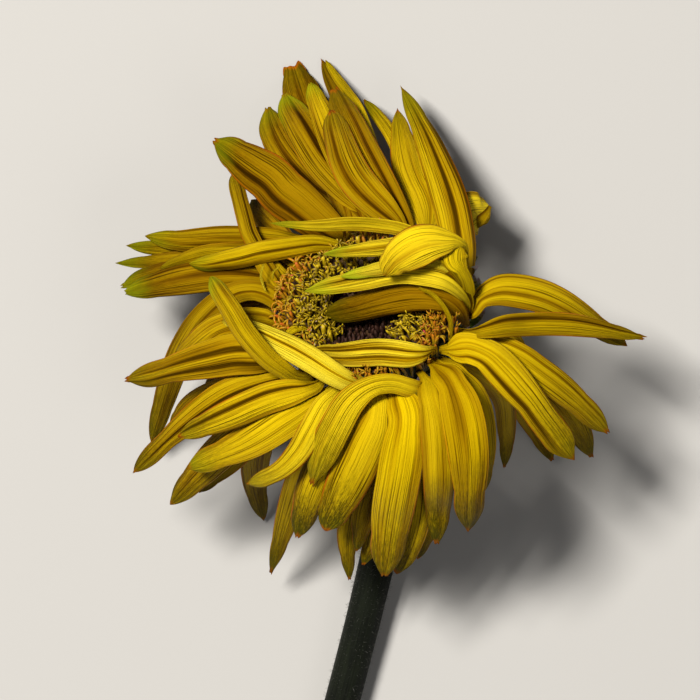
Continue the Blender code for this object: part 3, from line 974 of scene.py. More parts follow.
@dataclass
class Blades:
    """Makes the ray petals: thin pleated blades along their spines, with sizes in millimetres.

    Crowding above 1 sets the rows closer together towards the tip. The foot is shaped up to
    its share of the length, and the tip from its start on. A petal is half as thick from the
    share thin_from on. A curl that is nearer to 0 than the least one is set to that.
    """

    head: Head
    rows: int = 56
    columns: int = 41
    thickness: float = 0.34
    crowding: float = 1.3
    clearance: float = 0.3
    usual_half: float = 3.5
    foot_share: float = 0.16
    tip_start: float = 0.84
    thin_from: float = 0.97
    least_curl: float = 0.05
    made: int = 0

    def shares(self) -> np.ndarray:
        """Return the share of the length at each row."""
        return 1.0 - (1.0 - np.linspace(0.0, 1.0, self.rows)) ** self.crowding

    def ends(self, ray: Ray, sides: np.ndarray, seed: float) -> np.ndarray:
        """Cut a petal's end.

        Args:
            ray: The petal's look.
            sides: Places across it, from -1 to 1.
            seed: A number between 0 and 1 that moves the notch and the teeth.

        Returns:
            How far along the petal each place ends, as a share of the length.
        """
        notch, teeth = ray.tip.value[1:]
        dip = notch * np.exp(-((sides - 0.4 * (seed - 0.5)) / 0.28) ** 2)
        return 1.0 - dip - teeth * np.sin(sides * 9.0 + seed * 6.0) - (0.010 + 1.4 * notch) * sides ** 4

    def blade(self, name: str, spine: Spine, ray: Ray) -> bpy.types.Object:
        """Build one petal.

        Args:
            name: The piece's name.
            spine: Its middle line.
            ray: Its look.

        Returns:
            The petal, a closed thin shell.
        """
        self.made += 1
        seed = (self.made * GOLDEN_STEP) % 1.0
        fine = spine.resampled(self.rows)
        sides = np.linspace(-1.0, 1.0, self.columns)
        share = self.shares()
        spots = share[:, None] * self.ends(ray, sides, seed)[None, :] * (self.rows - 1)
        index = np.minimum(spots.astype(int), self.rows - 2)
        part = (spots - index)[..., None]
        lines = np.hstack((fine.points, fine.across, fine.normals))
        centre, across, normal = np.split(lines[index] * (1.0 - part) + lines[index + 1] * part, 3, axis=2)
        half = self.outline(ray, fine, share)[:, None] * np.ones_like(spots)
        side = np.broadcast_to(sides, spots.shape)
        along = np.broadcast_to(share[:, None], spots.shape)
        curl = ray.curl * (0.35 + 0.65 * eased(along, 0.05, 0.5))
        curl = curl * (1.0 + 0.35 * np.sin(5.0 * along + 6.3 * seed))
        curl = np.where(np.abs(curl) < self.least_curl, self.least_curl, curl)
        out = np.sin(curl * side) / np.sin(curl)
        drop = (1.0 - np.cos(curl * side)) / np.sin(curl)
        wide = half / (self.usual_half * MM)
        fade = eased(along, 0.0, 0.08) * (1.0 - (1.0 - ray.lasting) * eased(along, 0.25, 0.85))
        folds = self.folds(ray, side, along, seed)
        relief = ray.depth * MM * np.minimum(wide, 1.3) * folds * fade
        waves = np.sin(2.0 * math.pi * (2.2 * along + seed) + side)
        lift = relief + ray.wave * MM * wide * (np.abs(side) ** 3) * waves * fade - half * drop
        sheet = centre + across * (half * out)[..., None] + normal * lift[..., None]
        sheet[..., 2] = np.maximum(sheet[..., 2], self.clearance * MM)
        thick = self.thickness * MM * (1.0 - 0.55 * side ** 2) * (0.45 + 0.55 * np.minimum(wide, 1.0))
        thick = (thick * np.where(along > self.thin_from, 0.5, 1.0))[..., None]
        crown = sheet + normal * thick * 0.5
        back = sheet - normal * thick * 0.5
        crown[:, [0, -1]] = sheet[:, [0, -1]]
        ridge = np.clip(1.0 + folds * np.sqrt(fade), 0.0, 1.0)
        return self.shell(name, crown, back, ray, seed, ridge)

    def outline(self, ray: Ray, spine: Spine, share: np.ndarray) -> np.ndarray:
        """Shape a petal's foot and tip.

        Args:
            ray: The petal's look.
            spine: Its middle line, with its half widths.
            share: Shares of its length.

        Returns:
            Its half width at each share.
        """
        halves = np.interp(share, np.linspace(0.0, 1.0, len(spine.halves)), spine.halves)
        widest = spine.halves.max()
        foot = widest * ray.foot * eased(share, 0.0, self.foot_share)
        halves = np.maximum(halves, np.maximum(foot, min(0.7 * MM, 0.4 * widest) * (share < self.foot_share)))
        start = self.tip_start + 0.02 * ray.point
        past = np.clip((share - start) / (1.0 - start), 0.0, 1.0)
        full = np.interp(start, share, halves)
        rounded = full * np.maximum(1.0 - past ** 2, 0.0) ** (0.5 + 0.5 * ray.point)
        return np.where(share > start, np.maximum(rounded, full * ray.tip.value[0]), halves)

    def folds(self, ray: Ray, side: np.ndarray, along: np.ndarray, seed: float) -> np.ndarray:
        """Draw a petal's long folds, a few broad ones with finer ones between them.

        Args:
            ray: The petal's look.
            side: The place of each point across the petal, from -1 to 1.
            along: The place of each point along the petal, from 0 to 1.
            seed: A number between 0 and 1 that varies the folds.

        Returns:
            Their depth at each point, from 0 on a ridge to about -1 in a groove.
        """
        chance = np.random.default_rng(int(seed * 1e6))
        depth = np.zeros_like(side)
        for count, share, width in ((ray.grooves, 1.0, 0.32), (ray.grooves + 4, 0.22, 0.15)):
            for index in range(count):
                middle = -1.0 + 2.0 * (index + 0.5 + chance.uniform(-0.42, 0.42)) / count
                sway = chance.uniform(0.01, 0.06)
                sway = sway * np.sin(chance.uniform(2.0, 5.0) * along + chance.uniform(0.0, 6.3))
                lasts = 0.6 + 0.4 * np.sin(chance.uniform(1.5, 6.0) * along + chance.uniform(0.0, 6.3))
                strength = chance.uniform(0.3, 1.0) ** 1.3 * lasts
                spread = width * chance.uniform(0.5, 1.5) / math.sqrt(count)
                depth -= share * strength * np.exp(-(np.abs(side - middle - sway) / spread) ** 1.5)
        sway = 0.04 * np.sin(4.0 * along + 6.3 * seed)
        length = np.sin(math.pi * np.clip(along, 0.0, 1.0)) ** 0.4
        for middle in ray.creases:
            depth -= 1.3 * length * np.exp(-(np.abs(side - middle - sway) / 0.12) ** 1.4)
        return depth

    def shell(self, name: str, crown: np.ndarray, back: np.ndarray, ray: Ray, seed: float,
              ridge: np.ndarray) -> bpy.types.Object:
        """Join a petal's two faces into one closed shell with its UV map and attributes.

        Args:
            name: The piece's name.
            crown: The points of its upper face, by row and column, edges included.
            back: The points of its lower face, whose edges are left out.
            ray: Its look.
            seed: A number between 0 and 1 that varies its finish.
            ridge: How high each point lies in the folds, from 0 to 1.

        Returns:
            The petal.
        """
        rows, columns = ridge.shape
        count = rows * columns
        front = grid(rows, columns)
        under = front.copy()
        under[:, 1:-1] = grid(rows, columns - 2, count)
        faces = []
        for upper, lower in zip(quads(front), quads(under)):
            faces += [upper, lower[:1] + lower[:0:-1]]
        for row, step in ((0, 1), (-1, -1)):
            top, low = front[row].tolist(), under[row].tolist()
            for column in range(columns - 1):
                loop = dict.fromkeys((top[column], low[column], low[column + 1], top[column + 1]))
                faces.append(tuple(loop)[::step])
        uvs = uv_places(np.linspace(0.0, 1.0, columns), self.shares()).reshape(rows, columns, 2)
        vertices, places, heights = [
            np.concatenate((outer.reshape(count, -1), inner[:, 1:-1].reshape(rows * (columns - 2), -1)))
            for outer, inner in ((crown, back), (uvs, uvs), (ridge, 1.0 - ridge))]
        item = add_closed(name, (vertices, faces, places), PETAL.material())
        add_colours(item, "habit", ray.green, ray.dry, ray.pale, ray.age)
        add_colours(item, "relief", heights[:, 0], np.arange(len(heights)) >= count, seed, ray.shade)
        return item

    def dress(self, node: str, ray: Ray, route: Route | None) -> bpy.types.Object:
        """Build the petal that stands for a CAD petal.

        Args:
            node: The CAD petal's node.
            ray: The petal's look.
            route: Its own route, or None where it follows the CAD petal.

        Returns:
            The petal.
        """
        spine = Spine.from_route(route, self.head) if route else Spine.from_node(node, self.head)
        item = self.blade("ray_" + node.removeprefix("petal_"), spine, ray)
        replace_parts(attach(item, BODY), node)
        return item

    def extra(self, name: str, ray: Ray, route: Route) -> bpy.types.Object:
        """Build a small petal that no CAD petal stands for.

        Args:
            name: The piece's name.
            ray: Its look.
            route: Its route.

        Returns:
            The petal.
        """
        item = self.blade(name, Spine.from_route(route, self.head), ray)
        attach(item, BODY)
        return item


# The look of each petal, by the group of its CAD node and in the order of their numbers
# Age stands for browning and for painted shade: it is high on the top and left petals and on over_disc_02,
# which lie in shade
LOOKS: dict[str, tuple[Ray, ...]] = {
    "top": (
        Ray(grooves=5, tip=Tip.BROAD, point=0.0, dry=1.0, age=1.0, shade=0.4),
        Ray(point=0.6, dry=0.9, age=1.0, creases=(-0.45,)),
        Ray(tip=Tip.NOTCHED, green=0.35, dry=0.4, age=0.95, creases=(0.1,)),
        Ray(green=0.3, dry=0.7, age=0.3),
        Ray(grooves=2, depth=0.15, curl=0.55, point=0.0, green=0.0, dry=0.2, pale=0.3, shade=0.0),
        Ray(depth=0.4, lasting=0.7, tip=Tip.NOTCHED, green=0.6, dry=0.3, age=0.85, creases=(-0.3,)),
        Ray(depth=0.35, point=0.9, dry=1.0, age=0.5),
        Ray(depth=0.32, tip=Tip.NOTCHED, point=0.0, green=0.7, dry=0.2, age=0.35, shade=0.0),
        Ray(grooves=2, depth=0.3, tip=Tip.RAGGED, point=0.2, dry=1.0, age=0.95, shade=0.4),
        Ray(grooves=5, depth=0.24, lasting=0.7, point=0.9, green=0.35, dry=0.4, age=0.4, creases=(-0.1,)),
        Ray(grooves=2, depth=0.4, lasting=0.8, point=0.1, dry=1.0, age=0.8, shade=0.15, creases=(0.35,)),
        Ray(depth=0.38, lasting=0.9, tip=Tip.NOTCHED, green=0.4, dry=0.9, age=1.0, creases=(0.45,)),
    ),
    "left": (
        Ray(point=0.5, green=0.55, dry=0.3, age=0.75, shade=0.4),
        Ray(point=0.7, green=0.6, dry=0.2, age=0.75, shade=0.4),
        Ray(tip=Tip.NOTCHED, green=0.6, dry=0.2, age=0.95, shade=0.4),
        Ray(grooves=4, depth=0.35, point=0.5, green=0.45, dry=0.3, age=0.68, shade=0.15, creases=(0.3,)),
        Ray(grooves=2, point=0.7, green=0.2, dry=0.4, age=0.6, shade=0.1),
        Ray(grooves=2, depth=0.22, lasting=0.8, point=0.1, foot=0.7, dry=0.9, age=0.75, creases=(-0.45,)),
        Ray(grooves=4, depth=0.32, lasting=0.8, tip=Tip.NOTCHED, point=0.0, green=0.6, dry=0.1, age=0.95,
            shade=0.5),
        Ray(dry=0.4, age=0.8, shade=0.6),
        Ray(grooves=4, depth=0.26, point=0.1, dry=0.9, age=0.55, shade=0.2),
        Ray(grooves=2, depth=0.3, lasting=0.8, green=0.4, dry=0.1, age=0.3, shade=0.0, creases=(0.15,)),
        Ray(grooves=4, depth=0.26, lasting=0.8, tip=Tip.NOTCHED, point=0.4, foot=0.6, dry=1.0, age=0.48,
            shade=0.35, creases=(-0.2, 0.45)),
        Ray(grooves=2, depth=0.3, curl=0.75, lasting=0.9, point=0.0, foot=0.4, green=0.6, dry=0.0, age=0.48,
            shade=0.1),
    ),
    "over_disc": (
        Ray(point=0.8, green=0.75, dry=0.0, pale=0.2, shade=0.0),
        Ray(grooves=6, depth=0.5, curl=0.5, lasting=0.8, point=0.0, dry=0.0, age=1.3, shade=0.6),
        Ray(grooves=4, depth=0.35, lasting=0.6, point=0.5, green=0.7, dry=0.0, pale=0.35, shade=0.0,
            creases=(-0.3,)),
        Ray(point=0.4, green=0.95, dry=0.0, pale=0.5, shade=0.0),
        Ray(point=0.5, green=0.85, dry=0.0, pale=0.3, shade=0.0),
        Ray(grooves=2, depth=0.08, curl=0.3, wave=0.1, tip=Tip.NOTCHED, point=0.4, foot=0.1, green=0.0,
            dry=0.7, pale=0.2, shade=0.0),
        Ray(grooves=6, depth=0.45, curl=0.5, lasting=0.9, foot=0.35, green=0.0, dry=0.0, pale=0.5,
            shade=0.15, creases=(-0.3, 0.35)),
        Ray(depth=0.38, curl=0.5, lasting=0.9, foot=0.3, green=0.0, dry=0.0, pale=0.65, shade=0.0,
            creases=(-0.1,)),
    ),
    "low": (
        Ray(dry=0.6, age=0.7, shade=0.7),
        Ray(tip=Tip.NOTCHED, point=0.5, dry=0.9, age=0.6, shade=0.7),
        Ray(foot=0.6, dry=0.6, age=0.6, shade=0.6),
        Ray(grooves=6, depth=0.24, lasting=0.8, foot=0.6, dry=0.8, age=0.55, shade=0.5, creases=(0.1,)),
        Ray(depth=0.25, point=0.1, foot=0.7, dry=1.0, age=0.45, shade=0.9),
        Ray(grooves=2, depth=0.25, tip=Tip.NOTCHED, point=0.1, foot=0.7, dry=1.0, age=0.4, shade=1.0),
        Ray(grooves=4, depth=0.24, foot=0.65, green=0.3, dry=0.6, age=0.28, shade=0.45),
        Ray(grooves=4, lasting=0.9, foot=0.6, dry=1.0, age=0.3, shade=0.4, creases=(-0.35,)),
        Ray(grooves=4, depth=0.22, point=0.8, foot=0.7, dry=1.0, pale=0.2, age=0.05, shade=0.4),
        Ray(grooves=2, depth=0.22, point=0.1, foot=0.7, dry=1.0, age=0.35, shade=0.95),
        Ray(grooves=2, depth=0.22, tip=Tip.NOTCHED, point=0.1, foot=0.8, dry=1.0, pale=0.05, age=0.2,
            shade=0.75),
        Ray(grooves=2, depth=0.22, tip=Tip.NOTCHED, foot=0.6, dry=1.0, pale=0.15, age=0.1, shade=0.5),
    ),
    "right": (
        Ray(tip=Tip.NOTCHED, dry=1.0, age=0.6, shade=0.6),
        Ray(grooves=2, depth=0.7, tip=Tip.NOTCHED, dry=1.0, age=0.6, shade=0.7),
        Ray(grooves=6, tip=Tip.NOTCHED, dry=1.0, age=0.5, shade=0.7),
        Ray(grooves=2, foot=0.7, dry=0.4, age=0.5, shade=0.6),
        Ray(grooves=4, depth=0.26, lasting=0.8, tip=Tip.NOTCHED, point=0.1, foot=0.8, dry=1.0, age=0.4,
            shade=0.35),
        Ray(grooves=5, depth=0.26, lasting=0.7, point=0.9, foot=0.85, dry=0.9, age=0.28, shade=0.5,
            creases=(-0.55,)),
        Ray(depth=0.2, lasting=0.6, foot=0.6, dry=0.6, age=0.42, shade=0.4),
        Ray(grooves=4, depth=0.24, lasting=1.0, tip=Tip.RAGGED, point=0.5, dry=1.0, age=0.55, shade=0.2,
            creases=(0.4,)),
        Ray(depth=0.3, tip=Tip.NOTCHED, foot=0.7, dry=1.0, age=0.5, shade=1.0),
        Ray(depth=0.26, point=0.6, foot=0.7, dry=0.9, pale=0.05, age=0.52, shade=0.75),
    ),
}

# The routes of petals that leave the line of their CAD petal
ROUTES: dict[str, Route] = {
    "top_01": (
        (-3.8, 15.2, -15.0, 1.0), (-5.2, 21.4, -20.0, 2.4), (-6.9, 26.7, -24.5, 3.2),
        (-9.0, 31.9, -28.0, 3.7), (-11.1, 37.2, -31.5, 3.9), (-13.4, 42.4, -35.0, 4.1),
        (-15.1, 47.3, -37.3, 4.0), (-16.5, 51.7, -39.1, 2.0)),
    "top_03": (
        (-1.9, 14.5, -13.8, 1.2), (-2.1, 19.6, -17.5, 2.4), (-6.1, 22.5, -21.0, 2.8),
        (-10.5, 25.2, -24.5, 3.1), (-13.7, 28.2, -27.0, 3.6), (-16.6, 31.5, -29.0, 3.8),
        (-18.9, 34.9, -31.0, 3.7), (-20.6, 38.5, -33.4, 3.1), (-21.6, 42.4, -36.0, 0.5)),
    "top_04": (
        (8.6, 17.0, -13.0, 0.8), (9.2, 21.4, -18.0, 1.3), (8.8, 26.1, -22.0, 1.5), (7.6, 29.8, -25.0, 1.6),
        (5.9, 33.6, -28.0, 1.6), (4.0, 37.2, -30.5, 1.5), (1.5, 40.6, -33.0, 1.3),
        (-1.3, 44.0, -35.0, 0.3)),
    "top_05": (
        (17.2, 14.1, -12.4, 1.2), (18.3, 16.4, -13.4, 2.8), (19.5, 18.5, -14.6, 4.2),
        (21.0, 19.8, -16.0, 4.7), (22.5, 20.4, -17.6, 4.3), (23.9, 20.5, -19.0, 3.2),
        (25.4, 20.9, -20.4, 1.0)),
    "top_06": (
        (5.9, 15.8, -12.6, 1.0), (2.9, 19.1, -15.5, 2.6), (-0.8, 22.1, -18.0, 3.4),
        (-4.4, 24.8, -20.0, 3.6), (-7.8, 28.2, -22.1, 3.8), (-10.5, 31.5, -24.5, 3.9),
        (-12.8, 35.1, -26.9, 3.9), (-15.1, 39.1, -29.8, 3.7), (-17.0, 42.4, -33.0, 2.9),
        (-18.1, 45.2, -34.8, 0.5)),
    "top_08": (
        (3.8, 16.6, -12.8, 0.8), (0.0, 21.4, -16.5, 2.2), (-3.4, 25.6, -19.2, 2.9),
        (-5.9, 30.5, -21.6, 2.9), (-8.2, 35.7, -25.0, 2.9), (-10.1, 40.8, -28.8, 2.7),
        (-11.5, 44.3, -31.4, 2.0), (-12.7, 47.5, -33.4, 0.3)),
    "top_09": (
        (8.4, 15.2, -12.0, 1.0), (7.3, 17.5, -12.6, 2.0), (5.0, 21.0, -14.0, 3.0), (2.5, 25.0, -15.8, 3.6),
        (0.0, 29.4, -18.2, 3.9), (-2.3, 33.8, -21.0, 3.9), (-4.4, 38.5, -24.2, 3.6),
        (-6.3, 42.7, -27.4, 2.8), (-7.7, 46.4, -30.4, 0.5)),
    "top_10": (
        (20.9, 1.2, -1.0, 0.7), (20.5, 4.6, -1.4, 1.3), (19.6, 8.0, -3.2, 2.4), (18.9, 12.4, -6.6, 3.4),
        (18.1, 16.6, -10.2, 3.8), (17.2, 21.0, -13.4, 3.9), (15.8, 25.6, -16.8, 3.8),
        (13.8, 31.0, -20.5, 3.3), (11.6, 36.4, -24.0, 2.6), (9.0, 41.8, -27.8, 1.5),
        (6.5, 46.7, -31.0, 0.5)),
    "top_11": (
        (7.1, 15.6, -11.4, 1.0), (5.9, 17.9, -11.6, 1.8), (2.9, 20.8, -12.2, 3.0), (-0.4, 24.0, -13.4, 3.6),
        (-3.1, 27.3, -15.0, 3.8), (-5.0, 30.9, -17.2, 3.7), (-6.3, 34.7, -20.0, 3.3),
        (-7.3, 38.2, -23.0, 2.7), (-8.1, 41.6, -25.8, 0.4)),
    "top_12": (
        (-3.8, 12.8, -12.4, 1.4), (-7.1, 15.6, -13.2, 3.0), (-10.9, 18.3, -13.6, 4.3),
        (-15.3, 21.9, -14.0, 5.0), (-18.3, 24.2, -14.5, 5.2), (-21.0, 27.1, -14.8, 5.1),
        (-24.1, 29.2, -15.1, 4.8), (-27.1, 31.3, -15.8, 4.1), (-30.0, 33.4, -16.9, 2.9),
        (-33.0, 35.3, -17.9, 0.6)),
    "left_06": (
        (-17.8, 2.8, -3.6, 1.1), (-18.7, 3.8, -4.0, 1.4), (-19.9, 5.5, -4.8, 1.6), (-21.4, 7.6, -5.8, 1.8),
        (-22.7, 9.7, -7.0, 1.8), (-23.9, 12.6, -8.4, 1.8), (-25.5, 15.8, -9.8, 1.8),
        (-26.5, 19.3, -12.2, 1.8), (-27.5, 23.1, -15.0, 1.7), (-28.3, 26.1, -17.0, 1.6),
        (-29.0, 28.2, -18.4, 0.5)),
    "left_08": (
        (-17.6, 0.2, -3.4, 1.6), (-19.4, 1.3, -2.9, 2.0), (-21.9, 2.9, -2.4, 2.2), (-24.9, 3.6, -2.4, 2.2),
        (-28.6, 2.9, -4.0, 2.4), (-32.6, 0.2, -7.0, 2.7), (-36.1, -3.4, -10.4, 2.8),
        (-38.6, -7.2, -14.0, 2.8), (-40.6, -11.4, -17.8, 2.8), (-42.3, -16.2, -21.8, 2.6),
        (-43.8, -21.0, -25.6, 2.2), (-45.0, -25.0, -28.9, 1.5), (-46.1, -29.0, -32.0, 0.4)),
    "left_09": (
        (-17.8, -3.8, -0.8, 1.9), (-20.2, -4.1, 0.6, 2.9), (-22.8, -3.8, 1.6, 3.6), (-25.8, -3.9, 1.9, 3.9),
        (-28.9, -4.6, 1.0, 4.0), (-31.6, -5.5, -0.1, 4.0), (-33.9, -6.9, -1.8, 3.9),
        (-36.0, -8.5, -3.8, 3.6), (-38.2, -10.2, -6.0, 2.9), (-41.0, -12.5, -9.0, 0.5)),
    "left_10": (
        (-4.6, 12.2, -8.6, 0.7), (-7.3, 12.9, -7.2, 1.3), (-10.9, 13.3, -6.0, 1.9),
        (-14.7, 12.9, -5.2, 2.2), (-20.4, 12.0, -5.3, 2.4), (-23.7, 11.4, -5.9, 2.4),
        (-27.3, 10.5, -6.8, 2.3), (-30.9, 9.8, -7.5, 2.1), (-34.4, 9.2, -8.3, 1.6),
        (-38.0, 9.1, -9.4, 0.3)),
    "left_11": (
        (-16.2, -8.6, 4.5, 2.0), (-19.2, -9.5, 6.6, 3.2), (-23.2, -9.9, 7.6, 4.1), (-28.4, -9.9, 7.2, 4.5),
        (-33.6, -11.0, 5.4, 4.2), (-39.9, -12.5, 2.4, 3.3), (-46.2, -14.3, -2.2, 2.1),
        (-51.6, -15.3, -6.8, 0.6)),
    "left_12": (
        (-11.8, -15.2, 6.8, 1.0), (-15.3, -14.9, 10.8, 1.6), (-17.9, -13.4, 13.0, 1.9),
        (-21.6, -10.6, 15.0, 2.2), (-25.9, -5.7, 15.8, 2.4), (-29.3, -0.3, 14.6, 2.3),
        (-31.8, 3.6, 12.6, 1.9), (-33.4, 6.4, 10.6, 0.8)),
    "over_disc_02": (
        (20.3, -4.2, 4.2, 0.7), (19.2, -1.4, 8.4, 1.5), (16.8, 0.9, 10.6, 2.4), (14.0, 1.9, 11.0, 2.8),
        (10.9, 2.4, 10.3, 3.2), (7.6, 2.3, 9.1, 3.4), (4.2, 1.7, 7.9, 3.4), (0.9, 0.9, 6.9, 3.2),
        (-2.5, -0.1, 6.2, 2.9), (-6.0, -0.9, 5.6, 2.3), (-9.3, -1.5, 5.2, 1.0)),
    "over_disc_03": (
        (20.6, -1.4, 4.0, 0.6), (20.9, 0.6, 7.4, 1.0), (19.6, 3.0, 11.0, 1.7), (17.2, 5.3, 13.2, 2.4),
        (14.6, 6.6, 13.8, 2.8), (11.2, 7.3, 13.0, 2.9), (7.2, 7.6, 12.0, 2.8), (3.2, 7.1, 10.8, 2.7),
        (-1.0, 6.0, 9.8, 2.5), (-5.3, 5.0, 8.8, 2.1), (-9.5, 4.2, 7.6, 1.5), (-13.7, 3.3, 6.6, 0.3)),
    "over_disc_04": (
        (19.6, 2.0, 4.0, 0.7), (19.5, 4.2, 8.6, 0.9), (18.2, 6.3, 12.0, 1.1), (15.9, 8.4, 13.9, 1.4),
        (12.6, 9.4, 14.4, 1.7), (9.3, 9.4, 13.8, 1.8), (5.4, 8.7, 13.0, 1.7), (1.5, 7.9, 12.0, 1.5),
        (-2.4, 7.1, 11.0, 1.0), (-6.3, 6.3, 10.2, 0.3)),
    "over_disc_06": (
        (19.4, 5.0, 5.0, 0.5), (20.0, 9.6, 11.5, 0.5), (20.1, 12.6, 15.8, 0.5), (18.1, 13.6, 17.4, 1.4),
        (15.9, 13.6, 17.9, 2.6), (12.4, 13.4, 18.2, 4.0), (9.1, 12.3, 18.1, 4.5), (5.7, 10.1, 17.0, 3.9),
        (3.9, 8.0, 16.0, 2.3), (3.1, 6.5, 15.3, 0.5)),
    "over_disc_08": (
        (-1.2, -16.4, 13.4, 1.6), (-4.4, -15.7, 15.8, 2.2), (-8.4, -13.6, 16.8, 2.6),
        (-12.4, -11.0, 15.8, 2.8), (-16.2, -8.8, 13.8, 2.8), (-20.0, -6.9, 11.8, 2.5),
        (-23.9, -5.0, 10.2, 2.0), (-27.8, -3.7, 9.2, 1.4), (-31.0, -3.0, 8.6, 0.5)),
    "low_09": (
        (-4.8, -15.3, 10.2, 1.0), (-7.0, -18.0, 14.0, 1.8), (-9.7, -20.6, 15.6, 2.3),
        (-12.4, -25.6, 15.2, 2.6), (-14.8, -30.0, 13.6, 2.6), (-18.2, -33.7, 11.0, 2.2),
        (-22.3, -36.0, 7.0, 1.6), (-26.0, -37.1, 2.4, 0.4)),
    "low_12": (
        (11.8, -17.8, 9.5, 0.9), (10.6, -17.6, 13.4, 1.5), (8.4, -17.0, 16.0, 2.0), (4.4, -16.0, 17.6, 2.1),
        (0.0, -16.8, 18.5, 2.3), (-4.2, -20.0, 18.4, 3.1), (-7.5, -25.6, 16.8, 3.4),
        (-10.2, -31.5, 13.4, 3.1), (-12.2, -37.5, 8.4, 0.6)),
    "right_06": (
        (14.5, -9.0, 8.3, 0.8), (17.2, -8.9, 11.4, 1.5), (20.8, -8.6, 14.0, 2.5), (24.9, -10.3, 14.7, 3.5),
        (28.1, -13.4, 14.1, 3.9), (31.1, -16.8, 12.9, 3.8), (33.8, -19.9, 11.1, 3.4),
        (36.1, -23.1, 8.7, 2.8), (38.4, -26.1, 6.2, 2.1), (40.7, -29.2, 3.6, 1.3), (42.9, -32.1, 1.0, 0.4)),
}
